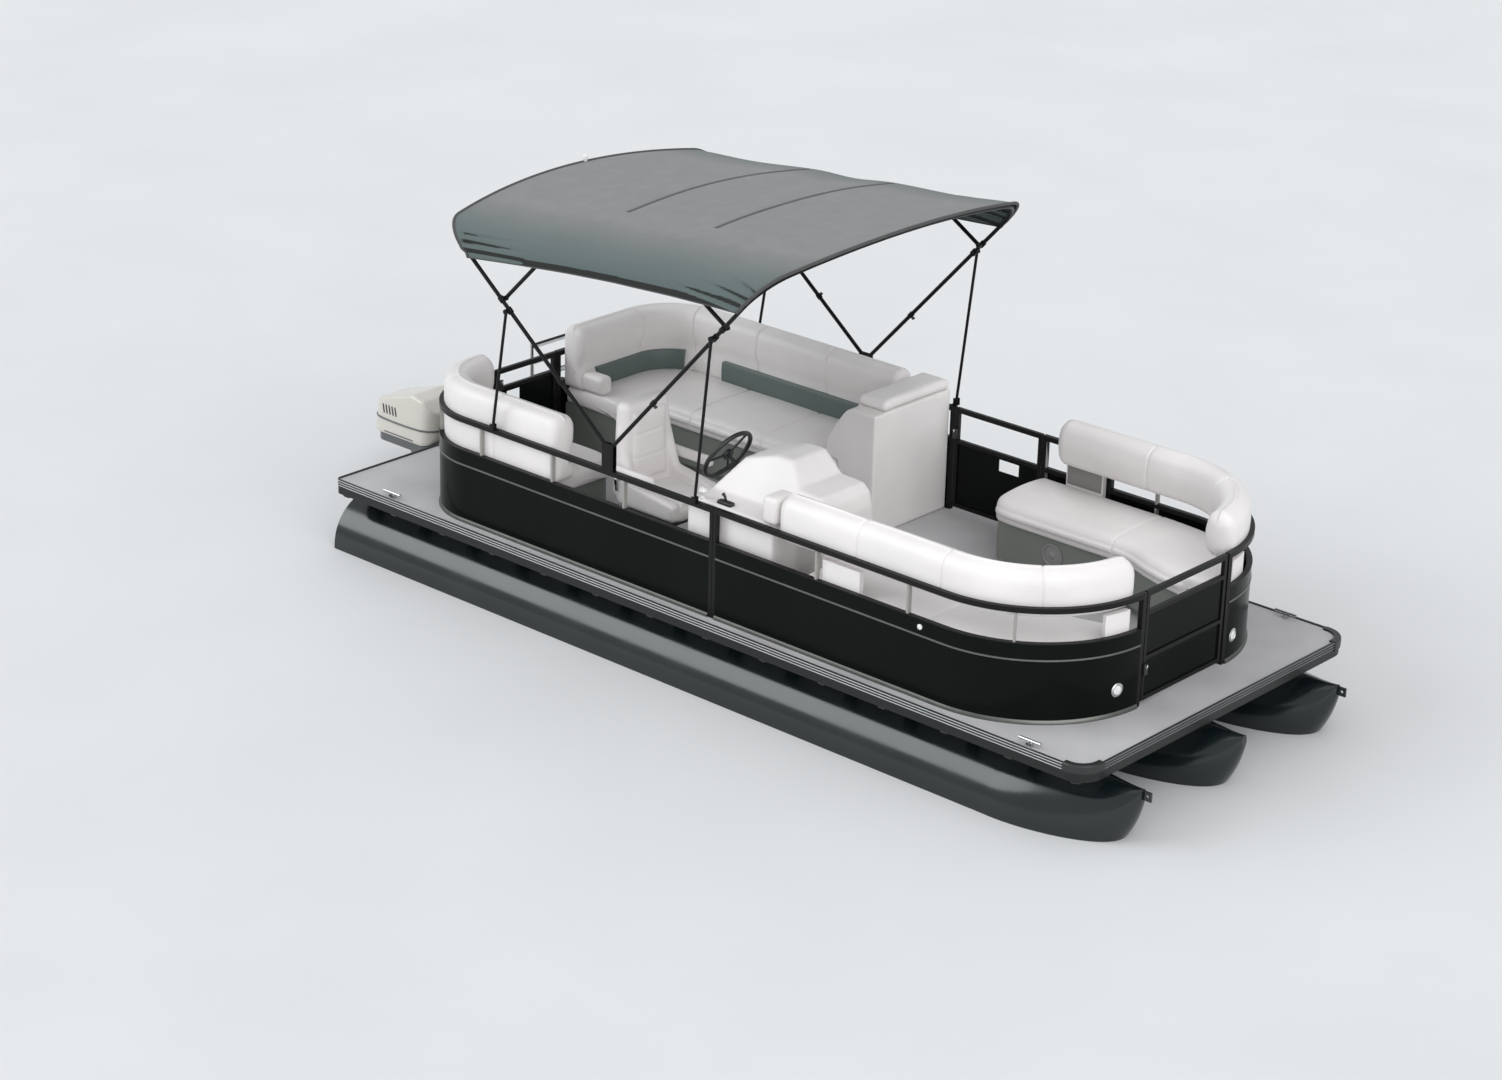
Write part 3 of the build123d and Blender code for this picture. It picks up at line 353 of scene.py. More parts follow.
def moulding_material(name, colour, roughness=0.35, coat=0.2):
    """Moulded plastic or gelcoat with faint streaks and specks."""
    material, tree, shader, coords = start_material(name, roughness, coat=coat)
    weather = use_group(tree, weather_group(), coords)
    streaks, specks = weather.outputs["Streaks"], weather.outputs["Specks"]
    paint_with(tree, shader, mottled(tree, streaks, colour, (0.3, 0.93), (0.7, 1.03)))
    rough_range(tree, shader, specks, roughness - 0.06, roughness + 0.1)
    bump(tree, shader, specks, 0.12, 0.0005)
    return material


def paint_material(name, colour, roughness, coat=0.0, lift=1.5, specular=0.2):
    """Sprayed paint, lighter by the lift where the weather has dulled it."""
    material, tree, shader, coords = start_material(name, roughness, coat=coat, specular=specular)
    streaks = use_group(tree, weather_group(), coords).outputs["Streaks"]
    paint_with(tree, shader, mottled(tree, streaks, colour, (0.35, 1.0), (0.75, lift)))
    rough_range(tree, shader, streaks, roughness - 0.04, roughness + 0.1)
    bump(tree, shader, streaks, 0.05, 0.0006)
    return material


def metal_material(name, colour, roughness):
    """Bare metal with a fine brushed mottle."""
    material, tree, shader, coords = start_material(name, roughness, metallic=1.0)
    grain = use_group(tree, grain_group(), coords, Scale=900.0, Mottle=14.0)
    mask = grain.outputs["Mask"]
    paint_with(tree, shader, mottled(tree, mask, colour, (0.3, 0.86), (0.75, 1.0)))
    rough_range(tree, shader, mask, roughness - 0.08, roughness + 0.12)
    bump(tree, shader, grain.outputs["Height"], 0.05, 0.0003)
    return material


def canvas_material(name, colour, painted_side_shade=None):
    """Woven cloth; a side shade colour gives the canopy's sloping sides a darker, greener painted
    shade.
    """
    material, tree, shader, coords = start_material(name, 0.85, sheen=0.1, specular=0.2)
    weave = use_group(tree, weave_group(), coords, Threads=260.0)
    tone = mottled(tree, weave.outputs["Mask"], colour, (0.3, 0.95), (0.7, 1.04))
    # The sides' darker colour is painted shade, fading in with the distance from the middle.
    if painted_side_shade:
        split = tree.nodes.new("ShaderNodeSeparateXYZ")
        tree.links.new(coords, split.inputs["Vector"])
        from_middle = math_node(tree, "ABSOLUTE", split.outputs["Y"])
        low_on_side = map_range(tree, from_middle, From_Min=FADE_START, From_Max=FADE_END)
        mix = tree.nodes.new("ShaderNodeMix")
        mix.data_type = "RGBA"
        mix.inputs["B"].default_value = (*painted_side_shade, 1)
        tree.links.new(low_on_side, mix.inputs["Factor"])
        tree.links.new(tone, mix.inputs["A"])
        tone = mix.outputs["Result"]
    paint_with(tree, shader, tone)
    bump(tree, shader, weave.outputs["Height"], 0.35, 0.0007)
    return material


def floor_vinyl_material(name, colour):
    """Woven marine floor: fine flecks in two greys."""
    material, tree, shader, coords = start_material(name, 0.7, specular=0.3)
    weave = use_group(tree, weave_group(), coords, Threads=140.0)
    grain = use_group(tree, grain_group(), coords, Scale=650.0, Mottle=2.2)
    flecks = noise_node(tree, 320.0)
    tree.links.new(coords, flecks.inputs["Vector"])
    cloud_share = math_node(tree, "MULTIPLY", grain.outputs["Mask"], 0.3)
    mixed = math_node(tree, "MULTIPLY_ADD", flecks.outputs["Fac"], 0.7, cloud_share)
    paint_with(tree, shader, mottled(tree, mixed, colour, (0.38, 0.72), (0.62, 1.12)))
    bump(tree, shader, weave.outputs["Height"], 0.3, 0.0008)
    return material


def trim_material(name, light, dark, edge):
    """Extruded edge trim: light above, dark web below the given height."""
    blend = 0.006
    material, tree, shader, coords = start_material(name, 0.35, metallic=0.2)
    split = tree.nodes.new("ShaderNodeSeparateXYZ")
    tree.links.new(coords, split.inputs["Vector"])
    step = map_range(tree, split.outputs["Z"], From_Min=edge - blend, From_Max=edge + blend)
    paint_with(tree, shader, colour_ramp(tree, step, [(0.0, dark), (1.0, light)]))
    weather = use_group(tree, weather_group(), coords)
    rough_range(tree, shader, weather.outputs["Streaks"], 0.25, 0.5)
    return material


def lens_material(name, colour):
    """Frosted lens of a lamp or a gauge."""
    material, tree, shader, coords = start_material(name, 0.08, coat=1.0)
    grain = use_group(tree, grain_group(), coords, Scale=260.0, Mottle=60.0)
    paint_with(tree, shader, mottled(tree, grain.outputs["Mask"], colour, (0.4, 0.9), (0.6, 1.0)))
    bump(tree, shader, grain.outputs["Height"], 0.2, 0.0008)
    return material


FINISH = {}


def make_finishes():
    """All materials, by a short name of the finish."""
    colours = bpy.context.scene.boat_colours
    vinyl, canvas = tuple(colours.vinyl), tuple(colours.canvas)
    web_top = DECK_TOP - 0.035
    FINISH.update(
        vinyl=vinyl_material("white_marine_vinyl", vinyl),
        accent=vinyl_material("accent_vinyl", tuple(colours.accent)),
        moulding=moulding_material("seat_base_moulding", (0.195, 0.210, 0.186), 0.5, coat=0.0),
        grey_panel=moulding_material("grey_panel", (0.26, 0.25, 0.245)),
        gelcoat=moulding_material("console_gelcoat", vinyl, 0.36, coat=0.12),
        dark_plastic=moulding_material("dark_plastic", (0.018, 0.018, 0.019), 0.4),
        ring_plastic=moulding_material("speaker_ring", (0.24, 0.235, 0.23), 0.4),
        upright=moulding_material("upright_finish", (0.33, 0.32, 0.30), 0.45, coat=0.0),
        rubber=moulding_material("tread_rubber", (0.02, 0.02, 0.021), 0.75, coat=0.0),
        engine_cream=moulding_material("engine_cream", (0.66, 0.63, 0.57), 0.25, coat=0.5),
        skin=paint_material(
            "fence_sheet_paint", tuple(colours.skin), 0.2, lift=1.35, specular=0.07
        ),
        tube=paint_material("tube_paint", tuple(colours.tube), 0.15, lift=1.3, specular=0.66),
        frame_paint=paint_material("black_powder_coat", (0.006, 0.0055, 0.0055), 0.35),
        canopy_tube=paint_material("canopy_tube_finish", (0.005, 0.005, 0.0055), 0.3),
        engine_grey=paint_material(
            "engine_grey", (0.10, 0.105, 0.11), 0.3, coat=0.3, lift=1.2, specular=0.5
        ),
        trim_line=metal_material("trim_line", (0.20, 0.205, 0.19), 0.35),
        ribs=metal_material("weathered_ribs", (0.33, 0.335, 0.34), 0.42),
        stainless=metal_material("polished_stainless", (0.66, 0.66, 0.66), 0.16),
        prop=metal_material("cast_blades", (0.36, 0.36, 0.37), 0.3),
        # The canopy's sides get a darker, greener colour as painted shade.
        canvas=canvas_material("canopy_canvas", canvas, painted_side_shade=(0.112, 0.142, 0.140)),
        lining=canvas_material("canopy_lining", (0.022, 0.024, 0.023)),
        binding=canvas_material("canopy_binding", shade(canvas, 0.36)),
        # The pockets' cloth is darkened as painted shade of the seams' underlap.
        pocket=canvas_material("canopy_pocket_painted_shade", shade(canvas, 0.5)),
        deck=floor_vinyl_material("woven_deck_floor", tuple(colours.deck)),
        deck_trim=trim_material(
            "deck_trim_finish", (0.03, 0.031, 0.031), (0.008, 0.009, 0.009), web_top
        ),
        clear_lens=lens_material("clear_lens", (0.85, 0.85, 0.84)),
    )


# Finish of the CAD nodes that stay as they are
CARRIED = {
    "tube": ("tube_starboard", "tube_centre", "tube_port", "motor_mount", "cross_beams"),
    "deck": ("deck",),
    "deck_trim": ("deck_trim",),
    "frame_paint": (
        "fence_frame_starboard_aft",
        "fence_frame_starboard_bow",
        "fence_frame_port_aft",
        "fence_frame_port_middle",
        "fence_frame_port_bow",
        "port_gate_frame",
        "bow_gate_frame",
        "stern_gate_frame",
    ),
    "skin": (
        "fence_panel_starboard_aft",
        "fence_panel_starboard_bow",
        "fence_panel_port_aft",
        "fence_panel_port_middle",
        "fence_panel_port_bow",
        "port_gate_panel",
        "bow_gate_panel",
        "stern_gate_panel",
    ),
    "moulding": ("port_lounge_base", "aft_seat_base", "port_couch_base", "starboard_couch_base"),
    "dark_plastic": ("steering_wheel",),
    "stainless": ("helm_chair_pedestal", "ladder", "ladder_arms", "ladder_handrail", "cleats"),
    "canopy_tube": (
        "canopy_bow_aft",
        "canopy_bow_fore",
        "canopy_second_bow_aft",
        "canopy_second_bow_fore",
        "canopy_struts_aft",
        "canopy_struts_fore",
        "canopy_mounts",
    ),
    "engine_grey": ("engine_bracket", "engine_swivel", "engine_leg", "engine_pan"),
    "engine_cream": ("engine_cowl",),
    "prop": ("propeller",),
}


def finish_carried_nodes():
    """Finishes on the frame's own nodes, and a second one on uprights and couch supports."""
    for finish, names in CARRIED.items():
        for name in names:
            mesh = NODES[name].data
            mesh.materials.clear()
            mesh.materials.append(FINISH[finish])
            if name.startswith("fence_frame"):
                second_finish(mesh, "upright", upright_test(name))
            elif name.endswith("couch_base"):
                second_finish(mesh, "vinyl", is_support)


def second_finish(mesh, finish, belongs):
    """Another finish on the faces whose corners pass a test."""
    mesh.materials.append(FINISH[finish])
    for face in mesh.polygons:
        if belongs([mesh.vertices[i].co for i in face.vertices]):
            face.material_index = 1


def upright_test(name):
    """Test for the faces of a frame's light uprights, which stand between its two end posts."""
    low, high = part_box(name)
    post = 0.04
    least_height = 0.1
    straight = high.y - low.y <= least_height
    # A straight run has no end post on the stern or the bow, so no face is near that place
    inner = -1.0 if straight else min(abs(low.y), abs(high.y))

    def is_upright(corners):
        spans = [max(c[k] for c in corners) - min(c[k] for c in corners) for k in range(3)]
        middle = sum(corners, Vector()) / len(corners)
        in_side_post = min(middle.x - low.x, high.x - middle.x) < post
        in_inner_post = abs(abs(middle.y) - inner) < post
        thin = hypot(spans[0], spans[1]) < RAIL - 0.002
        return spans[2] > least_height and thin and not in_side_post and not in_inner_post

    return is_upright


def is_support(corners):
    """Test for the faces of a couch base that rise above the seat to carry the roll."""
    return max(c.z for c in corners) > SEAT_HIGH


# Mesh helpers
def new_piece(name, mesh):
    """Object of a mesh, linked into the scene."""
    piece = bpy.data.objects.new(name, mesh)
    bpy.context.scene.collection.objects.link(piece)
    return piece


def mesh_object(name, vertices, faces, materials, smooth=True, sharp=None):
    """Object of plain vertices and faces; edges over the sharp angle in degrees stay crisp."""
    mesh = bpy.data.meshes.new(name)
    mesh.from_pydata([tuple(v) for v in vertices], [], faces)
    mesh.validate()
    for material in materials:
        mesh.materials.append(material)
    if smooth:
        mesh.shade_smooth()
        if sharp:
            mesh.set_sharp_from_angle(angle=radians(sharp))
    return new_piece(name, mesh)


def fix_normals(piece):
    work = bmesh.new()
    work.from_mesh(piece.data)
    bmesh.ops.recalc_face_normals(work, faces=work.faces)
    work.to_mesh(piece.data)
    work.free()
    return piece


def loft(name, rings, material, sharp=None):
    """Closed skin over rings with the same number of points."""
    size = len(rings[0])
    vertices = [point for ring in rings for point in ring]
    faces = []
    for k in range(len(rings) - 1):
        for i in range(size):
            j = (i + 1) % size
            faces.append((k * size + i, k * size + j, (k + 1) * size + j, (k + 1) * size + i))
    for k in (0, len(rings) - 1):
        middle = len(vertices)
        vertices.append(sum((Vector(p) for p in rings[k]), Vector()) / size)
        for i in range(size):
            faces.append((k * size + i, k * size + (i + 1) % size, middle))
    return fix_normals(mesh_object(name, vertices, faces, [material], sharp=sharp))


def circle(centre, side, other, radius, sides):
    """Ring of points round a centre, in the plane of two directions."""
    turns = [2 * pi * i / sides for i in range(sides)]
    return [centre + (side * cos(t) + other * sin(t)) * radius for t in turns]


def tube_rings(points, radius, sides):
    """Rings of a round tube along points, its radius fixed or one for each point."""
    points = [Vector(p) for p in points]
    radii = radius if isinstance(radius, (list, tuple)) else [radius] * len(points)
    rings = []
    side = None
    for k, point in enumerate(points):
        ahead = points[min(k + 1, len(points) - 1)] - points[max(k - 1, 0)]
        ahead.normalize()
        if side is None:
            side = ahead.orthogonal().normalized()
        else:
            side = (side - ahead * side.dot(ahead)).normalized()
        rings.append(circle(point, side, ahead.cross(side), radii[k], sides))
    return rings


def tube(name, points, radius, material, sides=10):
    return loft(name, tube_rings(points, radius, sides), material)


def turned(name, base, axis, profile, material, sides=24):
    """Lathe form: profile of (distance along the axis, radius) from base."""
    least_radius = 1e-5
    axis = Vector(axis).normalized()
    side = axis.orthogonal().normalized()
    other = axis.cross(side)
    rings = [
        circle(Vector(base) + axis * along, side, other, max(radius, least_radius), sides)
        for along, radius in profile
    ]
    return loft(name, rings, material, sharp=40)


def rounded_box(name, low, high, radius, material, segments=5):
    """Box with rolled edges, as a moulded or padded form."""
    work = bmesh.new()
    bmesh.ops.create_cube(work, size=1)
    size = Vector(high) - Vector(low)
    centre = (Vector(high) + Vector(low)) / 2
    for vertex in work.verts:
        vertex.co = centre + Vector(a * b for a, b in zip(vertex.co, size))
    bmesh.ops.bevel(
        work, geom=work.edges[:], offset=radius, segments=segments, profile=0.5, affect="EDGES"
    )
    mesh = bpy.data.meshes.new(name)
    work.to_mesh(mesh)
    work.free()
    mesh.materials.append(material)
    mesh.shade_smooth()
    return new_piece(name, mesh)


def join(pieces, name):
    """One piece from several, keeping their materials."""
    work = bmesh.new()
    materials = []
    for piece in pieces:
        shift = []
        for material in piece.data.materials:
            if material not in materials:
                materials.append(material)
            shift.append(materials.index(material))
        before = len(work.faces)
        work.from_mesh(piece.data)
        work.faces.ensure_lookup_table()
        for face in work.faces[before:]:
            face.material_index = shift[face.material_index]
        bpy.data.objects.remove(piece)
    mesh = bpy.data.meshes.new(name)
    work.to_mesh(mesh)
    work.free()
    for material in materials:
        mesh.materials.append(material)
    return new_piece(name, mesh)


def place(piece, body, node=None):
    """A finished piece on its body, in place of a CAD node where one is named."""
    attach(piece, body)
    if node:
        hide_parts(node)


def bake_modifiers(piece):
    """The piece's mesh as its modifiers leave it."""
    graph = bpy.context.evaluated_depsgraph_get()
    mesh = bpy.data.meshes.new_from_object(piece.evaluated_get(graph))
    materials = list(piece.data.materials)
    piece.modifiers.clear()
    piece.data = mesh
    if not mesh.materials:
        for material in materials:
            mesh.materials.append(material)


def voxel_remesh(piece, voxel):
    remesh = piece.modifiers.new("Remesh", "REMESH")
    remesh.mode = "VOXEL"
    remesh.voxel_size = voxel


def soften(piece, voxel, rounds):
    """Joins a piece's solids into one skin and rolls its edges."""
    voxel_remesh(piece, voxel)
    smooth = piece.modifiers.new("Smooth", "SMOOTH")
    smooth.factor = 0.5
    smooth.iterations = rounds
    bake_modifiers(piece)
    piece.data.shade_smooth()
    return piece


def moulded(node, name, material, voxel, rounds):
    """The form of one of the frame's nodes with its edges rolled."""
    piece = new_piece(name, NODES[node].data.copy())
    piece.data.materials.clear()
    piece.data.materials.append(material)
    return soften(piece, voxel, rounds)


# The fence's rounded outline, walked from the stern's middle along one side to the bow's middle
class Outline:
    """Half of a rounded rectangle at an inset, on one side of the boat."""

    def __init__(
        self,
        side,
        inset,
        aft=FENCE_AFT,
        fore=FENCE_FORE,
        half=FENCE_SIDE,
        radii=(AFT_RADIUS, BOW_RADIUS),
    ):
        self.side = side
        self.aft = aft + inset
        self.fore = fore - inset
        self.half = half - inset
        self.aft_radius = radii[0] - inset
        self.bow_radius = radii[1] - inset
        self.lengths = [
            self.half - self.aft_radius,
            self.aft_radius * pi / 2,
            self.fore - self.aft - self.aft_radius - self.bow_radius,
            self.bow_radius * pi / 2,
            self.half - self.bow_radius,
        ]

    def at(self, distance):
        """Point and outward direction at a distance along the outline."""
        part = 0
        while part < 4 and distance > self.lengths[part]:
            distance -= self.lengths[part]
            part += 1
        if part == 0:
            point, out = (self.aft, distance), (-1, 0)
        elif part == 1:
            turn = distance / self.aft_radius
            centre = (self.aft + self.aft_radius, self.half - self.aft_radius)
            out = (-cos(turn), sin(turn))
            point = tuple(c + self.aft_radius * o for c, o in zip(centre, out))
        elif part == 2:
            point, out = (self.aft + self.aft_radius + distance, self.half), (0, 1)
        elif part == 3:
            turn = distance / self.bow_radius
            centre = (self.fore - self.bow_radius, self.half - self.bow_radius)
            out = (sin(turn), cos(turn))
            point = tuple(c + self.bow_radius * o for c, o in zip(centre, out))
        else:
            point, out = (self.fore, self.half - self.bow_radius - distance), (1, 0)
        return Vector((point[0], self.side * point[1], 0)), Vector((out[0], self.side * out[1], 0))

    def from_side_x(self, x):
        """Distance at which the straight side reaches x."""
        return self.lengths[0] + self.lengths[1] + x - self.aft - self.aft_radius

    def from_stern_y(self, y):
        """Distance at which the stern's straight end reaches y."""
        return abs(y)

    def from_bow_y(self, y):
        """Distance at which the bow's straight end reaches y."""
        return sum(self.lengths) - abs(y)

    def aft_corner(self, degrees):
        """Point on the aft corner, turned from its start."""
        return self.at(self.lengths[0] + self.aft_radius * radians(degrees))[0]

    def bow_corner(self, degrees):
        """Point on the bow corner, turned from its start."""
        return self.at(sum(self.lengths[:3]) + self.bow_radius * radians(degrees))[0]


LEAST_STEP = 0.002


def spread(start, end, step, marks=(), reach=(0.004, 0.009, 0.016, 0.026)):
    """Distances from start to end, closer together beside the marks."""
    count = max(2, int((end - start) / step))
    values = [start + (end - start) * i / count for i in range(count + 1)]
    for mark in marks:
        values.append(mark)
        for offset in reach:
            values += [mark - offset, mark + offset]
    return thinned([v for v in values if start <= v <= end], LEAST_STEP)


def thinned(values, least):
    """Values in order, without those that come too soon after the one before."""
    kept = []
    for value in sorted(values):
        if not kept or value - kept[-1] > least:
            kept.append(value)
    return kept


def strip(name, outline, span, section, material, step=0.05, height=0.0):
    """Thin moulding along an outline; its section is (outward, up) points about a height."""
    rings = []
    for distance in spread(*span, step):
        point, out = outline.at(distance)
        rings.append([point + out * o + UP * (height + z) for o, z in section])
    return loft(name, rings, material, sharp=35)


# Soft forms
ARC_POINTS = 6
END_STEPS = 6
LEAST_PAD_STEP = 0.0015
SEAM_FULLNESS = 0.004
PIPING_RADIUS = 0.0028


def corner_loop(width, low, high, radii, crowns, run_points=7):
    """Closed section of a cushion from (0, low), with rounded corners and crowned sides.

    The radii are those of the corners at (0, low), (0, high), (width, high) and (width, low).
    The crowns are the swells of the sides: first side, top, far side and underside."""
    corners = [(0, low), (0, high), (width, high), (width, low)]
    inward = [(1, 1), (1, -1), (-1, -1), (-1, 1)]
    starts = [270, 180, 90, 0]
    side_out = [(-1, 0), (0, 1), (1, 0), (0, -1)]
    least_radius = 0.002
    most_radius = min(width, high - low) / 2 - 0.001
    arcs = []
    for (x, z), (sx, sz), radius, begin in zip(corners, inward, radii, starts):
        r = max(least_radius, min(radius, most_radius))
        centre = (x + sx * r, z + sz * r)
        turns = [radians(begin - 90 * i / (ARC_POINTS - 1)) for i in range(ARC_POINTS)]
        arcs.append([(centre[0] + r * cos(turn), centre[1] + r * sin(turn)) for turn in turns])
    loop = []
    for k, arc in enumerate(arcs):
        loop += arc
        last, first = arc[-1], arcs[(k + 1) % 4][0]
        for i in range(1, run_points + 1):
            t = i / (run_points + 1)
            swell = crowns[k] * sin(pi * t) ** 0.8
            ends = zip(last, first, side_out[k])
            loop.append(tuple(a + (b - a) * t + out * swell for a, b, out in ends))
    return loop


def end_inset(distance, length, radius):
    """How far a section shrinks near either end of a pad with rolled ends."""
    near = min(distance, length - distance)
    if near >= radius:
        return 0.0
    return radius - sqrt(max(0.0, radius**2 - (radius - near) ** 2))


def seam_dip(distance, seams, size):
    """How far a pad draws in at its seams, each a soft groove as wide as it is deep."""
    return sum(size * exp(-(((distance - seam) / size) ** 2)) for seam in seams)


def seam_swell(distance, stops):
    """Fullness between two seams: nothing at a seam, full in between."""
    for a, b in zip(stops, stops[1:]):
        if a <= distance <= b:
            return SEAM_FULLNESS * sin(pi * (distance - a) / (b - a)) ** 0.6
    return 0.0


def pad_places(length, step, seams, end_radius):
    """Distances of a pad's rings, with more beside the seams and in the rolled ends."""
    ends = [i * end_radius / END_STEPS for i in range(END_STEPS + 1)]
    wanted = spread(0.0, length, step, seams) + ends + [length - e for e in ends]
    return thinned({round(w, 5) for w in wanted}, LEAST_PAD_STEP)


def pad_run(name, outline, span, heights, seams, thickness, radii, crowns, end_radius, waist):
    """Seat back along the outline, its outer face on the outline and its ends rolled.

    A waist is (height, reach, depth) of the hollow below the roll on the seat's side."""
    step = 0.045
    seam_size = 0.006
    least_radius = 0.01
    start, end = span
    low, high = heights
    length = end - start
    stops = [0.0, *seams, length]
    places = pad_places(length, step, seams, end_radius)
    rings = []
    for distance in places:
        point, out = outline.at(start + distance)
        shrink = end_inset(distance, length, end_radius)
        dip = shrink + seam_dip(distance, seams, seam_size)
        full = seam_swell(distance, stops)
        loop = corner_loop(
            thickness - 2 * dip,
            low + dip,
            high - dip,
            [max(least_radius, r - shrink * 0.5) for r in radii],
            [c + full for c in crowns],
        )
        ring = []
        for across, z in loop:
            depth = across + dip
            if waist and depth > thickness / 2:
                height, reach, amount = waist
                depth -= amount * exp(-(((z - height) / reach) ** 2))
            ring.append(point - out * depth + UP * z)
        rings.append(ring)
    return loft(name, rings, FINISH["vinyl"]), rings, places


def smooth_path(points, steps):
    """Smooth line through plan points, with the same number of steps between each two."""
    points = [Vector((*p[:2], 0)) for p in points]
    padded = [2 * points[0] - points[1], *points, 2 * points[-1] - points[-2]]
    line = []
    for k in range(1, len(padded) - 2):
        a, b, c, d = padded[k - 1 : k + 3]
        for i in range(steps):
            t = i / steps
            bend = 2 * a - 5 * b + 4 * c - d
            twist = 3 * b - a - 3 * c + d
            line.append(0.5 * (2 * b + (c - a) * t + bend * t * t + twist * t**3))
    line.append(points[-1])
    return line


def seat_cushion(name, stations, seams, crown):
    """Cushion between a back line and a front line, given as pairs of plan points.

    The seams are shares of its length. Its front edge has a lip that hangs over the base."""
    low, high = SEAT_LOW, SEAT_HIGH
    step = 0.04
    path_steps = 14
    end_radius = 0.05
    seam_size = 0.007
    front_crown = 0.008
    radii = [0.04, 0.055, 0.03, 0.02]
    lip_drop = 0.045
    lip_width = 0.029
    back = smooth_path([pair[0] for pair in stations], path_steps)
    front = smooth_path([pair[1] for pair in stations], path_steps)
    travelled = [0.0]
    for k in range(1, len(back)):
        stride = (back[k] + front[k]) / 2 - (back[k - 1] + front[k - 1]) / 2
        travelled.append(travelled[-1] + stride.length)
    length = travelled[-1]
    seams = [s * length for s in seams]
    stops = [0.0, *seams, length]
    middle_z = (low + high) / 2
    half_height = (high - low) / 2
    rings = []
    k = 0
    for distance in pad_places(length, step, seams, end_radius):
        while k < len(travelled) - 2 and travelled[k + 1] < distance:
            k += 1
        t = (distance - travelled[k]) / max(1e-9, travelled[k + 1] - travelled[k])
        a = back[k].lerp(back[k + 1], t)
        b = front[k].lerp(front[k + 1], t)
        width = (a - b).length
        inward = (a - b) / width
        shrink = end_inset(distance, length, end_radius)
        dip = seam_dip(distance, seams, seam_size)
        full = seam_swell(distance, stops)
        loop = corner_loop(
            width - 2 * shrink,
            low + shrink * 0.6,
            high - shrink - dip,
            radii,
            [front_crown + full - dip, crown + full - dip, 0.0, 0.0],
            run_points=11,
        )
        ring = []
        for across, z in loop:
            if across < lip_width and z < middle_z:
                reach = lip_drop * (1 - across / lip_width) ** 0.5
                z -= reach * (middle_z - z) / half_height
            ring.append(b + inward * (across + shrink) + UP * z)
        rings.append(ring)
    return loft(name, rings, FINISH["vinyl"])


def inflate(piece, most):
    """Swells a closed pad with a short cloth run, then keeps the result as plain mesh.

    No point moves further than the most, so the pad keeps clear of its neighbours."""
    voxel = 0.008
    pressure = 4.0
    frames = 20
    scene = bpy.context.scene
    voxel_remesh(piece, voxel)
    bake_modifiers(piece)
    rest = [v.co.copy() for v in piece.data.vertices]
    cloth = piece.modifiers.new("Cloth", "CLOTH")
    cloth.settings.use_pressure = True
    cloth.settings.uniform_pressure_force = pressure
    cloth.settings.effector_weights.gravity = 0
    cloth.settings.quality = 5
    cloth.point_cache.frame_start = 1
    cloth.point_cache.frame_end = frames
    for number in range(1, frames + 1):
        scene.frame_set(number)
    bake_modifiers(piece)
    scene.frame_set(1)
    for vertex, start in zip(piece.data.vertices, rest):
        move = vertex.co - start
        if move.length > most:
            vertex.co = start + move.normalized() * most
    piece.data.shade_smooth()


def piping(name, rings, distances, seams):
    """Welt cords that stand in the cross seams."""
    cords = []
    for seam in seams:
        index = min(range(len(distances)), key=lambda i: abs(distances[i] - seam))
        ring = [Vector(p) for p in rings[index]]
        cord = tube_rings(ring + [ring[0]], PIPING_RADIUS, 6)
        cords.append(loft(f"{name}_{len(cords)}", cord, FINISH["vinyl"]))
    return join(cords, name)


# Seats
# Thickness, corner radii, crowns, radius of the rolled ends, and waist of the two kinds of back
ROLL = (0.185, (0.07, 0.085, 0.085, 0.075), (0.0, 0.004, 0.006, 0.004), 0.075, None)
FULL_BACK = (0.19, (0.012, 0.08, 0.09, 0.03), (0.0, 0.003, 0.0, 0.0), 0.05, (1.12, 0.06, 0.03))
BACK_THICKNESS = FULL_BACK[0]
# Where the full-height backs start on the stern
LOUNGE_START = 0.15
AFT_SEAT_START = 0.62
COUCH_SIDES = ((1, "port"), (-1, "starboard"))


def even_seams(length, spacing):
    """Cross seams that share a length evenly, about the spacing apart."""
    count = max(1, round(length / spacing))
    return [length * i / count for i in range(1, count)]


def build_seat_backs():
    """Rolls over the couches, and backs of full height for the lounge and the aft seat."""
    spacing = bpy.context.scene.boat_sizes.seam_spacing
    full_height = (SEAT_HIGH + SEAT_GAP, LOUNGE_TOP)
    backs = []
    for side, word in COUCH_SIDES:
        line = Outline(side, BACK_INSET)
        node = f"{word}_couch_back"
        span = (line.from_side_x(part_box(node)[0].x), line.from_bow_y(BOW_MOUTH))
        backs.append((f"{word}_couch_roll", node, line, span, COUCH_ROLL, ROLL))
    for word, side, stern_y in (("port_lounge", 1, LOUNGE_START), ("aft_seat", -1, AFT_SEAT_START)):
        line = Outline(side, BACK_INSET)
        node = f"{word}_back"
        span = (line.from_stern_y(stern_y), line.from_side_x(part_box(node)[1].x))
        backs.append((f"{node}_pad", node, line, span, full_height, FULL_BACK))
    for name, node, line, span, heights, section in backs:
        seams = even_seams(span[1] - span[0], spacing)
        pad, rings, places = pad_run(name, line, span, heights, seams, *section)
        place(pad, "root", node)
        place(piping(f"{name}_piping", rings, places, seams), "root")


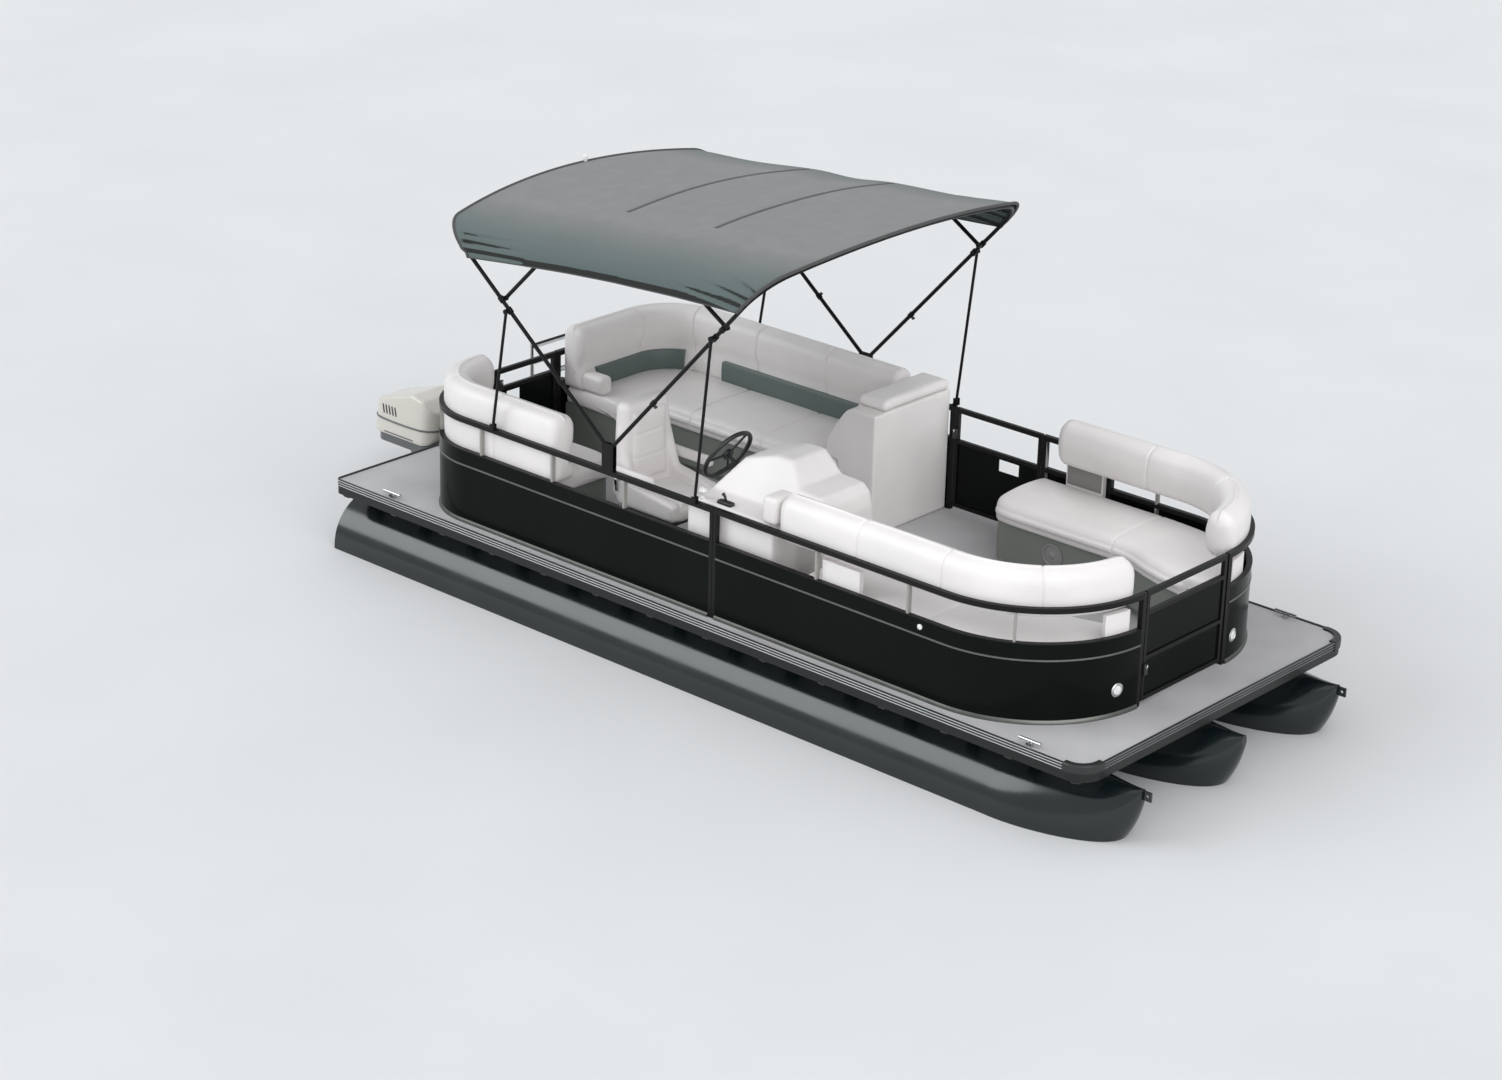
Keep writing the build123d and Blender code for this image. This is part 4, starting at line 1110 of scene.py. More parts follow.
def couch_stations(side, word):
    """Back and front line of a couch's cushion: straight, then curved into the bow's corner."""
    line = Outline(side, CUSHION_INSET)
    aft_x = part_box(f"{word}_couch_cushion")[0].x
    bend = aft_x + 1.04
    # Straight part: places of back and front from the aft end, and the front's distance out
    straight = (
        (0.0, 0.012, 0.70),
        (0.05, 0.05, 0.627),
        (0.14, 0.14, 0.602),
        (0.35, 0.35, COUCH_FRONT),
        (0.7, 0.7, COUCH_FRONT),
    )
    # Curved part: degrees round the corner, then the front's place past the bend
    curved = (
        (18, 0.2, 0.525),
        (36, 0.34, 0.48),
        (56, 0.45, 0.455),
        (74, 0.52, 0.443),
    )
    stations = [
        ((aft_x + back, side * line.half), (aft_x + front, side * y)) for back, front, y in straight
    ]
    stations.append(((bend, side * line.half), (bend, side * 0.595)))
    for degrees, past, y in curved:
        stations.append((line.bow_corner(degrees), (bend + past, side * y)))
    stations.append(((line.fore, side * BOW_MOUTH), (bend + 0.56, side * BOW_MOUTH)))
    return stations


def lounge_stations():
    """Back and front line of the port lounge's cushion, from its fore end round the aft corner."""
    line = Outline(1, BACK_INSET)
    fore_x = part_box("port_lounge_cushion")[1].x
    front = 0.4
    return [
        ((fore_x, line.half), (fore_x, front)),
        ((fore_x - 0.5, line.half), (fore_x - 0.5, front)),
        ((fore_x - 1.0, line.half), (fore_x - 1.0, front)),
        ((fore_x - 1.4, line.half), (fore_x - 1.35, front)),
        (line.aft_corner(84), (-1.70, front - 0.002)),
        (line.aft_corner(56), (-1.79, 0.37)),
        (line.aft_corner(28), (-1.845, 0.30)),
        (line.aft_corner(2), (-1.88, 0.23)),
        ((line.aft, 0.165), (-1.9, 0.165)),
    ]


def aft_seat_stations():
    """Back and front line of the aft seat's cushion, from its fore end round the aft corner."""
    line = Outline(-1, BACK_INSET)
    fore_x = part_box("aft_seat_cushion")[1].x
    front = -0.507
    return [
        ((fore_x, -line.half), (fore_x, -0.60)),
        ((fore_x - 0.12, -line.half), (fore_x - 0.14, -0.515)),
        ((fore_x - 0.45, -line.half), (fore_x - 0.45, front)),
        ((fore_x - 0.72, -line.half), (fore_x - 0.7, front)),
        (line.aft_corner(66), (fore_x - 0.85, front)),
        (line.aft_corner(40), (fore_x - 0.97, front)),
        (line.aft_corner(14), (fore_x - 1.06, front - 0.01)),
        ((line.aft, -0.635), (-2.34, -0.55)),
    ]


def build_seat_cushions():
    """Cushions of the two couches, the lounge and the aft seat."""
    crown = bpy.context.scene.boat_sizes.cushion_crown
    cushions = [
        (f"{word}_couch_seat", f"{word}_couch_cushion", couch_stations(side, word), (0.5,))
        for side, word in COUCH_SIDES
    ]
    cushions += [
        ("port_lounge_seat", "port_lounge_cushion", lounge_stations(), (0.26, 0.52)),
        ("aft_seat_pad", "aft_seat_cushion", aft_seat_stations(), (0.5,)),
    ]
    for name, node, stations, seams in cushions:
        pad = seat_cushion(name, stations, seams, crown)
        place(pad, "root", node)


class BOAT_OT_seats(bpy.types.Operator):
    """Padded backs and cushions of the couches, the lounge and the aft seat"""

    bl_idname = "boat.seats"
    bl_label = "Seats"

    def execute(self, context):
        build_seat_backs()
        build_seat_cushions()
        return {"FINISHED"}


# Canopy
# Pivots and rakes of the two main bows, as the part has them
PIVOT_Z = 1.348
PIVOT_FORE_X = -0.645
PIVOT_AFT_X = PIVOT_FORE_X - 0.046
AFT_RAKE = radians(180 - 38.2)
FORE_RAKE = radians(47.6)
# Section and slope of the cloth
CROWN_Z = 2.715
CANOPY_SLOPE = 0.08
CANOPY_SIDE = 1.21
CANOPY_DROP = 0.30
CANOPY_CORNER = 0.18
CANOPY_CROWN = 0.112
CLOTH_THICKNESS = 0.0018
CLOTH_CLEARANCE = 0.002
# Points on the side, the corner and half of the top of a section, and steps along
SIDE_POINTS = 16
CORNER_POINTS = 36
TOP_POINTS = 40
CLOTH_STEP = 0.0075
# Pockets over the two second bows
SEAM_BOWS = (-1.10, -0.36)
POCKET_START = 0.62
POCKET_END = 1.06
POCKET_HALF = 0.015
# Skirt: where it starts below the crown, how soon it is free, how its hem lifts and draws in,
# then the ripple of the whole cloth
SKIRT_START = 0.10
SKIRT_REACH = 0.20
SKIRT_LIFT = 0.022
SKIRT_DRAW = 0.02
RIPPLE = 0.004
# Folds of the cloth near the low corners: start and end as (x, height above the hem), width, depth
FOLDS = (
    ((-1.93, 0.030), (-1.38, 0.030), 0.015, 0.0100),
    ((-1.95, 0.088), (-1.34, 0.105), 0.015, 0.0090),
    ((-1.97, 0.150), (-1.40, 0.185), 0.015, 0.0080),
    ((0.40, 0.025), (-0.20, 0.100), 0.016, 0.0110),
    ((0.44, 0.070), (-0.10, 0.215), 0.016, 0.0100),
    ((0.48, 0.130), (0.06, 0.330), 0.016, 0.0085),
)
FOLD_ZONE = 0.4
FOLD_START = 0.06
# Collars and knobs stand this far up the main bows; profiles are (along the axis, radius)
COLLAR_REACH = 0.5
COLLAR_HALF = 0.018
KNOB_OUT = 0.014
COLLAR = [(0, 0.0135), (0.002, 0.0175), (0.034, 0.0175), (0.036, 0.0135)]
KNOB = [(0, 0.006), (0.008, 0.006), (0.009, 0.011), (0.018, 0.011), (0.021, 0.007), (0.021, 0.0)]
ALL_ROUND_LIGHT = [
    (0, 0.016),
    (0.008, 0.015),
    (0.010, 0.018),
    (0.030, 0.020),
    (0.042, 0.014),
    (0.047, 0.0),
]
# The light's place on the aft hem: from the middle, below the crown and off the cloth
LIGHT_Y = 0.14
LIGHT_DROP = -0.0013
LIGHT_LIFT = 0.006


def canopy_across():
    """Section of the cloth from starboard hem to port hem: y, height below the crown."""
    half = CANOPY_SIDE + CLOTH_CLEARANCE
    radius = (half**2 + CANOPY_CROWN**2) / (2 * CANOPY_CROWN)
    # Corner arc between the upright side and the crown's arc
    inner_y = half - CANOPY_CORNER
    reach = radius - CANOPY_CORNER
    inner_z = sqrt(reach**2 - inner_y**2) - radius
    lean = atan2(inner_y, inner_z + radius)
    points = []
    for i in range(SIDE_POINTS):
        points.append((half, -CANOPY_DROP + (inner_z + CANOPY_DROP) * i / SIDE_POINTS))
    for i in range(CORNER_POINTS):
        turn = (pi / 2 - lean) * i / CORNER_POINTS
        points.append((inner_y + CANOPY_CORNER * cos(turn), inner_z + CANOPY_CORNER * sin(turn)))
    for i in range(TOP_POINTS + 1):
        turn = lean * (1 - i / TOP_POINTS)
        points.append((radius * sin(turn), radius * cos(turn) - radius))
    return [(-y, z) for y, z in points] + points[-2::-1]


def canopy_point(y, drop, share):
    """Point on the cloth: share 0 lies on the aft bow's plane, 1 on the fore bow's."""
    ends = []
    for x0, rake in ((PIVOT_AFT_X, AFT_RAKE), (PIVOT_FORE_X, FORE_RAKE)):
        lean = cos(rake) / sin(rake)
        height = CROWN_Z + drop - PIVOT_Z
        ends.append((x0 + lean * height) / (1 - lean * CANOPY_SLOPE))
    x = ends[0] + (ends[1] - ends[0]) * share
    return Vector((x, y, CROWN_Z + CANOPY_SLOPE * x + drop))


def bow_shares():
    """Shares of the way from the aft bow to the fore one at which the four bows stand."""
    left = canopy_point(0, 0, 0).x
    right = canopy_point(0, 0, 1).x
    return [0.0, *((x - left) / (right - left) for x in SEAM_BOWS), 1.0]


def fold_depth(x, up):
    """How far the cloth draws in where folds run from the low corners of the main bows."""
    total = 0.0
    for (x0, h0), (x1, h1), width, depth in FOLDS:
        run, rise = x1 - x0, h1 - h0
        along = ((x - x0) * run + (up - h0) * rise) / (run**2 + rise**2)
        if not 0.0 < along < 1.0:
            continue
        across = ((x - x0) * rise - (up - h0) * run) / hypot(run, rise)
        crease = exp(-((across / width) ** 2))
        # A low ridge stands on either side of each crease
        ridges = 0.45 * exp(-(((abs(across) - 1.9 * width) / width) ** 2))
        start = min(1.0, along / FOLD_START)
        total += depth * (crease - ridges) * start * (1 - along) ** 0.8
    return total


def cloth_at(y, drop, share, stops, lift):
    """Point of the finished cloth, with its dips between the bows, folds and skirts."""
    gap = 0.0
    for a, b in zip(stops, stops[1:]):
        if a <= share <= b:
            gap = sin(pi * (share - a) / (b - a)) ** 2
    side = min(1.0, max(0.0, (-drop - SKIRT_START) / SKIRT_REACH))
    whole = sin(pi * share)
    sag = bpy.context.scene.boat_sizes.canopy_sag * gap * (1 - side)
    point = canopy_point(y, drop + SKIRT_LIFT * side * side * whole, share)
    out = -1 if y < 0 else 1
    above_hem = (CANOPY_DROP + drop) + max(0.0, CANOPY_SIDE - abs(y)) * 0.9
    fold = fold_depth(point.x, above_hem) if above_hem < FOLD_ZONE else 0.0
    point.z += lift - sag - fold * (1 - side)
    point.y -= out * (fold + SKIRT_DRAW * side * whole)
    point.z += RIPPLE * noise(Vector((point.x * 3, point.y * 2, 0.4))) * whole
    return point


def sheet_of(name, top, under, materials):
    """Closed thin sheet from rows of points on its top and its underside, a material for each."""
    count, size = len(top), len(top[0])
    base = size * count
    vertices = [p for rows in (top, under) for row in rows for p in row]
    faces = []
    for k in range(count - 1):
        for i in range(size - 1):
            a, b = k * size + i, k * size + i + 1
            c, d = (k + 1) * size + i + 1, (k + 1) * size + i
            faces.append((a, b, c, d))
            faces.append((base + d, base + c, base + b, base + a))
    rim = [k * size for k in range(count)]
    rim += [(count - 1) * size + i for i in range(1, size)]
    rim += [k * size + size - 1 for k in range(count - 2, -1, -1)]
    rim += list(range(size - 2, 0, -1))
    for a, b in zip(rim, rim[1:] + rim[:1]):
        faces.append((a, base + a, base + b, b))
    sheet = fix_normals(mesh_object(name, vertices, faces, materials, sharp=60))
    for face in sheet.data.polygons:
        if min(face.vertices) >= base:
            face.material_index = 1
    return sheet


def build_hems(section, shares, stops):
    """Binding along the four hems, and pockets over the two second bows."""
    bands = []
    for k, share in enumerate((0.0, 1.0)):
        edge = [cloth_at(y, z, share, stops, CLOTH_THICKNESS) for y, z in section]
        bands.append(tube(f"hem_{k}", edge, 0.010, FINISH["binding"], 8))
    for k, (y, z) in enumerate((section[0], section[-1])):
        edge = [cloth_at(y, z, share, stops, CLOTH_THICKNESS / 2) for share in shares]
        bands.append(tube(f"side_hem_{k}", edge, 0.0045, FINISH["binding"], 8))
    half = POCKET_HALF / (canopy_point(0, 0, 1).x - canopy_point(0, 0, 0).x)
    profile = (
        (-half, 0.0),
        (-half * 0.8, 0.004),
        (0.0, 0.0055),
        (half * 0.8, 0.004),
        (half, 0.0),
        (0.0, -0.001),
    )
    # Each pocket's darker cloth is painted shade along its seam.
    for k, share in enumerate(stops[1:-1]):
        rings = []
        for y, z in section:
            if -POCKET_START < y < POCKET_END:
                places = [(share + along, CLOTH_THICKNESS + lift) for along, lift in profile]
                rings.append([cloth_at(y, z, at, stops, lift) for at, lift in places])
        bands.append(loft(f"pocket_{k}", rings, FINISH["pocket"]))
    return join(bands, "canopy_hems")


def build_canopy():
    """One stretched cloth over the four bows, with its hems and pockets."""
    section = canopy_across()
    stops = bow_shares()
    shares = spread(0.0, 1.0, CLOTH_STEP, stops[1:-1], (0.003, 0.006))
    top, under = (
        [[cloth_at(y, z, share, stops, lift) for y, z in section] for share in shares]
        for lift in (CLOTH_THICKNESS, 0.0)
    )
    cloth = sheet_of("canopy_cloth", top, under, [FINISH["canvas"], FINISH["lining"]])
    hems = build_hems(section, shares, stops)
    place(cloth, "root", "canopy")
    place(hems, "root")
    for piece in (cloth, hems):
        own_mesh(piece)


def build_canopy_fittings():
    """Collars with thumb knobs on the main bows, and the all-round light on the aft hem."""
    leg_y = FENCE_SIDE - RAIL / 2
    bows = (("canopy_fore", PIVOT_FORE_X, FORE_RAKE), ("root", PIVOT_AFT_X, AFT_RAKE))
    for body, x0, rake in bows:
        along = Vector((cos(rake), 0, sin(rake)))
        across = Vector((sin(rake), 0, -cos(rake)))
        pieces = []
        for side in (-1, 1):
            spot = Vector((x0, side * leg_y, PIVOT_Z)) + along * COLLAR_REACH
            foot = spot - along * COLLAR_HALF
            pieces.append(turned(f"collar_{side}", foot, along, COLLAR, FINISH["canopy_tube"], 16))
            foot = spot + across * KNOB_OUT
            pieces.append(turned(f"knob_{side}", foot, across, KNOB, FINISH["dark_plastic"], 12))
        place(join(pieces, f"canopy_collars_{body}"), body)
    spot = canopy_point(LIGHT_Y, LIGHT_DROP, 0.0) + UP * LIGHT_LIFT
    lamp = turned("all_round_light", spot, UP, ALL_ROUND_LIGHT, FINISH["clear_lens"], 16)
    place(lamp, "root")


class BOAT_OT_canopy(bpy.types.Operator):
    """Crowned canvas over the four bows, with its hems, pockets and fittings"""

    bl_idname = "boat.canopy"
    bl_label = "Canopy"

    def execute(self, context):
        build_canopy()
        build_canopy_fittings()
        return {"FINISHED"}


# Fence trim
# Sections are (outward, up) points about each strip's height
BEAD = [(-0.001, -0.007), (0.003, -0.005), (0.0045, 0.0), (0.003, 0.005), (-0.001, 0.007)]
SILL = [(-0.001, 0.0), (0.010, 0.0), (0.010, 0.010), (0.003, 0.024), (-0.001, 0.026)]
CAP_STRIP = [(-0.030, -0.002), (0.002, -0.002), (0.003, 0.001), (0.002, 0.004), (-0.030, 0.004)]
# Profiles of the lamps are (along the axis, radius)
BEZEL = [(-0.002, 0.04), (0.004, 0.042), (0.008, 0.036), (0.009, 0.030), (0.004, 0.027)]
DOCKING_LENS = [(0.003, 0.028), (0.008, 0.026), (0.0105, 0.016), (0.0115, 0.0)]
MARKER_LENS = [(-0.001, 0.017), (0.006, 0.017), (0.010, 0.012), (0.012, 0.0)]
# Docking lights: side and distance from the middle; the side marker's place on starboard
DOCKING_PLACES = ((-1, 0.60), (1, 0.50))
DOCKING_Z = 0.66
MARKER_X = 1.789
MARKER_Z = 0.94
# Latches: body, middle and outward direction
LATCHES = (
    ("port_gate", (0.118, 1.170, 1.03), (0, -1, 0)),
    ("bow_gate", (2.745, -0.372, 0.72), (1, 0, 0)),
    ("stern_gate", (-2.412, -0.420, 1.10), (1, 0, 0)),
)
LATCH_HALF_HEIGHT = 0.035
LATCH_HALF_WIDTH = 0.016
LATCH_DEPTH = 0.016


def fence_runs():
    """Name, outline and span of each of the fence's sheets."""
    for side, words in (
        (-1, ("starboard_aft", "starboard_bow")),
        (1, ("port_aft", "port_middle", "port_bow")),
    ):
        line = Outline(side, 0.0)
        for word in words:
            low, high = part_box(f"fence_panel_{word}")
            start, end = line.from_side_x(low.x), line.from_side_x(high.x)
            if word.endswith("_aft"):
                stern_end = PORT_AFT_FENCE_END if side > 0 else STARBOARD_AFT_FENCE_END
                start = line.from_stern_y(stern_end)
            elif word.endswith("_bow"):
                end = line.from_bow_y(FENCE_MOUTH)
            yield word, line, (start, end)


def build_fence_trim():
    """Bead, sill and cap strip along every sheet of the fence."""
    bead_height = bpy.context.scene.boat_sizes.pinstripe_height
    for name, slot, finish, section, height in (
        ("fence_trim_line", "bare_aluminium", "trim_line", BEAD, bead_height),
        ("fence_sill", "bare_aluminium", "trim_line", SILL, DECK_TOP),
        ("fence_cap_strip", "black_frame", "frame_paint", CAP_STRIP, PANEL_TOP),
    ):
        strips = [
            strip(f"{name}_{word}", line, span, section, FINISH[finish], height=height)
            for word, line, span in fence_runs()
        ]
        place(join(strips, name), "root")


def docking_light(name, point, out):
    """Round lamp in a bright bezel, set into the sheet."""
    bezel = turned(f"{name}_bezel", point, out, BEZEL, FINISH["stainless"])
    lens = turned(f"{name}_lens", point, out, DOCKING_LENS, FINISH["clear_lens"])
    return join([bezel, lens], name)


def gate_latch(body, point, out):
    """Latch box with its lever on a gate's face."""
    point, out = Vector(point), Vector(out)
    along = UP.cross(out)
    low = point - UP * LATCH_HALF_HEIGHT - along * LATCH_HALF_WIDTH
    high = point + UP * LATCH_HALF_HEIGHT + along * LATCH_HALF_WIDTH + out * LATCH_DEPTH
    corners = [[pick(a, b) for a, b in zip(low, high)] for pick in (min, max)]
    box = rounded_box(f"{body}_latch_box", *corners, 0.004, FINISH["dark_plastic"], 3)
    reach = [point + out * 0.014, point + out * 0.022 + UP * 0.03]
    lever = tube(f"{body}_latch_lever", reach, 0.005, FINISH["stainless"], 8)
    return join([box, lever], f"{body}_latch")


def build_fence_fittings():
    """Docking lights, side marker and gate latches."""
    lamps = []
    for side, distance in DOCKING_PLACES:
        line = Outline(side, 0.0)
        point, out = line.at(line.from_bow_y(distance))
        lamps.append(docking_light(f"lamp_{side}", point + UP * DOCKING_Z, out))
    place(join(lamps, "docking_lights"), "root")
    line = Outline(-1, 0.0)
    point, out = line.at(line.from_side_x(MARKER_X))
    spot = point + UP * MARKER_Z
    marker = turned("side_marker_light", spot, out, MARKER_LENS, FINISH["clear_lens"], 16)
    place(marker, "root")
    for body, point, out in LATCHES:
        place(gate_latch(body, point, out), body)


class BOAT_OT_fence(bpy.types.Operator):
    """Trim lines, sills, lamps and latches of the fence"""

    bl_idname = "boat.fence"
    bl_label = "Fence"

    def execute(self, context):
        build_fence_trim()
        build_fence_fittings()
        return {"FINISHED"}


# Deck edge
DECK_CORNERS = (0.04, 0.14)
RIB = [(-0.002, -0.0042), (0.004, -0.0034), (0.0062, 0.0), (0.004, 0.0034), (-0.002, 0.0042)]
RIB_COUNT = 3
RIB_PITCH = 0.0165
RIB_START = 0.38
# Section of the corner caps, at its own height above the waterline
CORNER_CAP = [
    (0.001, 0.452),
    (0.0075, 0.454),
    (0.0095, 0.48),
    (0.0075, 0.506),
    (0.002, 0.5125),
    (-0.034, 0.5125),
    (-0.037, 0.499),
]
CAP_OVERLAP = 0.02


def deck_outline(side):
    return Outline(side, 0.0, TRIM_LOW.x, TRIM_HIGH.x, TRIM_HIGH.y, DECK_CORNERS)


def build_deck_ribs():
    """Fine bright ribs round the deck's edge, from beside the engine to the bow's middle."""
    ribs = []
    for side in (-1, 1):
        line = deck_outline(side)
        span = (RIB_START, sum(line.lengths))
        for k in range(RIB_COUNT):
            z = DECK_TOP + 0.002 - RIB_PITCH * k
            ribs.append(strip(f"rib_{side}_{k}", line, span, RIB, FINISH["ribs"], 0.04, z))
    place(join(ribs, "deck_edge_ribs"), "root")


def build_corner_caps():
    """Dark cast caps over the two bow corners of the deck's edge."""
    caps = []
    for side in (-1, 1):
        line = deck_outline(side)
        middle = sum(line.lengths[:3]) + line.lengths[3] / 2
        reach = line.lengths[3] / 2 + CAP_OVERLAP
        span = (middle - reach, middle + reach)
        caps.append(strip(f"cap_{side}", line, span, CORNER_CAP, FINISH["deck_trim"], 0.015))
    place(join(caps, "deck_corner_caps"), "root")


class BOAT_OT_deck(bpy.types.Operator):
    """Ribbed bright edge round the deck"""

    bl_idname = "boat.deck"
    bl_label = "Deck edge"

    def execute(self, context):
        build_deck_ribs()
        build_corner_caps()
        return {"FINISHED"}


# Helm
CHAIR_X = -0.64
CHAIR_Y = -0.70
CHAIR_Z = 0.83
SPINDLE_Z = 0.632
# The back leans aft and narrows over its height
BACK_FOOT = 0.06
BACK_HEIGHT = 0.608
BACK_LEAN = 0.022
BACK_NARROWING = 0.24
# The bolsters slope down ahead, and the wings flow back into the chair's back
BOLSTER_AFT = 0.22
BOLSTER_LENGTH = 0.492
BOLSTER_SLOPE = 0.075
WING_AFT = 0.235
WING_SWEEP = 0.12
CHANNEL_DEPTH = 0.005
CHANNEL_WIDTH = 0.008
# Dash panel: its middle, its rise along the console's face, and its edges from the middle
DASH_MIDDLE = Vector((0.0, -0.70, 1.262))
DASH_RISE = Vector((0.130, 0, 0.180)).normalized()
DASH_EDGES = (-0.02, 0.11)
DASH_HALF = 0.17
# Gauges: sideways, along the dash, radius
GAUGES = ((-0.11, 0.05, 0.036), (0.0, 0.055, 0.045), (0.11, 0.05, 0.036))
SWITCH_COUNT = 6
SWITCH_START = -0.125
SWITCH_PITCH = 0.05
TRAY_TOP = 1.194
# Profiles are (along the axis, radius)
SPINDLE = [(0, 0.0195), (0.17, 0.0195), (0.175, 0.06), (0.19, 0.06)]
SWITCH = [(0, 0.011), (0.006, 0.010), (0.009, 0.006), (0.009, 0.0)]
BALL_LIGHT = [
    (0, 0.016),
    (0.012, 0.015),
    (0.018, 0.008),
    (0.030, 0.008),
    (0.036, 0.020),
    (0.050, 0.027),
    (0.068, 0.021),
    (0.078, 0.0),
]
DOOR_LATCH = [(0, 0.022), (0.004, 0.021), (0.005, 0.012), (0.008, 0.0)]


def channel(piece, axis, positions, facing):
    """Sewn channels across a pad: the side that faces up an axis draws in along lines."""
    normals = [v.normal.copy() for v in piece.data.vertices]
    for vertex, normal in zip(piece.data.vertices, normals):
        dip = sum(
            CHANNEL_DEPTH * exp(-(((vertex.co[axis] - p) / CHANNEL_WIDTH) ** 2)) for p in positions
        )
        if normal[facing] > 0.3:
            vertex.co -= normal * dip


def chair_block(name, x, y, z, radius, finish="vinyl", segments=5):
    """Rolled block between pairs of distances from the chair's middle and its base."""
    low, high = ((CHAIR_X + x[k], CHAIR_Y + y[k], CHAIR_Z + z[k]) for k in (0, 1))
    return rounded_box(name, low, high, radius, FINISH[finish], segments)


def chair_side(side):
    """Bolster beside the seat and wing beside the back, on one side of the chair."""
    y = sorted((side * 0.165, side * 0.243))
    bolster = chair_block(f"bolster_{side}", (-BOLSTER_AFT, 0.272), y, (0.02, 0.215), 0.032)
    for vertex in bolster.data.vertices:
        ahead = (vertex.co.x - (CHAIR_X - BOLSTER_AFT)) / BOLSTER_LENGTH
        vertex.co.z -= BOLSTER_SLOPE * ahead * max(0.0, vertex.co.z - CHAIR_Z - 0.05) / 0.165
    # The wing stands 14 mm in from the chair's outer side
    wing_y = (y[0] + 0.014, y[1]) if side < 0 else (y[0], y[1] - 0.014)
    wing = chair_block(f"wing_{side}", (-WING_AFT, -0.095), wing_y, (0.16, 0.52), 0.03)
    for vertex in wing.data.vertices:
        rise = max(0.0, vertex.co.z - CHAIR_Z - 0.20)
        ahead = max(0.0, vertex.co.x - CHAIR_X + WING_AFT)
        vertex.co.x -= WING_SWEEP * rise / 0.32 * ahead / 0.14
    return [bolster, wing]


def build_chair():
    """Bucket chair: a soft shell with raised sides, set-in pads and two arm rests."""
    seat = chair_block("seat", (-0.24, 0.278), (-0.20, 0.20), (0.012, 0.112), 0.04)
    back = chair_block("back", (-0.258, -0.150), (-0.242, 0.242), (BACK_FOOT, 0.668), 0.045)
    for vertex in back.data.vertices:
        rise = max(0.0, (vertex.co.z - CHAIR_Z - BACK_FOOT) / BACK_HEIGHT)
        vertex.co.x -= BACK_LEAN * rise
        vertex.co.y = CHAIR_Y + (vertex.co.y - CHAIR_Y) * (1 - BACK_NARROWING * rise**3)
    bucket = join([seat, back, *chair_side(-1), *chair_side(1)], "bucket")
    soften(bucket, 0.010, 9)
    seat_pad = chair_block("seat_insert", (-0.15, 0.262), (-0.158, 0.158), (0.085, 0.126), 0.018)
    inflate(seat_pad, 0.008)
    channel(seat_pad, 0, [CHAIR_X - 0.02, CHAIR_X + 0.13], facing=2)
    back_pad = chair_block("back_insert", (-0.19, -0.138), (-0.155, 0.155), (0.15, 0.61), 0.02)
    for vertex in back_pad.data.vertices:
        vertex.co.x -= BACK_LEAN * (vertex.co.z - CHAIR_Z - BACK_FOOT) / BACK_HEIGHT
    inflate(back_pad, 0.007)
    channel(back_pad, 2, [CHAIR_Z + 0.31, CHAIR_Z + 0.46], facing=0)
    square = (-0.2, 0.2)
    plate = chair_block("plate", square, square, (-0.039, 0.016), 0.012, "dark_plastic", 3)
    foot = (CHAIR_X, CHAIR_Y, SPINDLE_Z)
    mount = [plate, turned("spindle", foot, UP, SPINDLE, FINISH["stainless"])]
    for side in (-1, 1):
        y = side * 0.261
        span = (y - 0.024, y + 0.024)
        mount.append(chair_block(f"arm_{side}", (-0.235, 0.128), span, (0.226, 0.292), 0.022))
        post_x, post_y = CHAIR_X - 0.20, CHAIR_Y + y
        post = [(post_x, post_y - side * 0.02, CHAIR_Z + 0.12), (post_x, post_y, CHAIR_Z + 0.24)]
        mount.append(tube(f"post_{side}", post, 0.012, FINISH["stainless"]))
    pads = join([bucket, seat_pad, back_pad], "helm_chair_pads")
    place(pads, "chair", "helm_chair")
    place(join(mount, "helm_chair_mount"), "chair")


def build_dash():
    """Dark panel on the console's face with its gauges and switches."""
    out = Vector((-DASH_RISE.z, 0, DASH_RISE.x))
    across = Vector((0, 1, 0))

    def on_dash(sideways, along, lift):
        return DASH_MIDDLE + DASH_RISE * along + across * sideways + out * lift

    low, high = DASH_EDGES
    corners = ((-DASH_HALF, low), (DASH_HALF, low), (DASH_HALF, high), (-DASH_HALF, high))
    pieces = [
        mesh_object(
            "dash_panel",
            [on_dash(*corner, lift) for lift in (0.0005, 0.006) for corner in corners],
            [(4, 5, 6, 7), (0, 1, 5, 4), (1, 2, 6, 5), (2, 3, 7, 6), (3, 0, 4, 7)],
            [FINISH["dark_plastic"]],
            smooth=False,
        )
    ]
    for k, (sideways, along, r) in enumerate(GAUGES):
        centre = on_dash(sideways, along, 0.005)
        rim = [(0, r), (0.008, r), (0.009, r * 0.86), (0.006, r * 0.82)]
        face = [(0.002, r * 0.84), (0.0065, r * 0.82), (0.0075, 0.0)]
        pieces.append(turned(f"gauge_rim_{k}", centre, out, rim, FINISH["stainless"]))
        pieces.append(turned(f"gauge_face_{k}", centre, out, face, FINISH["clear_lens"]))
    for k in range(SWITCH_COUNT):
        foot = on_dash(SWITCH_START + SWITCH_PITCH * k, -0.008, 0.006)
        pieces.append(turned(f"switch_{k}", foot, out, SWITCH, FINISH["dark_plastic"], 8))
    return pieces


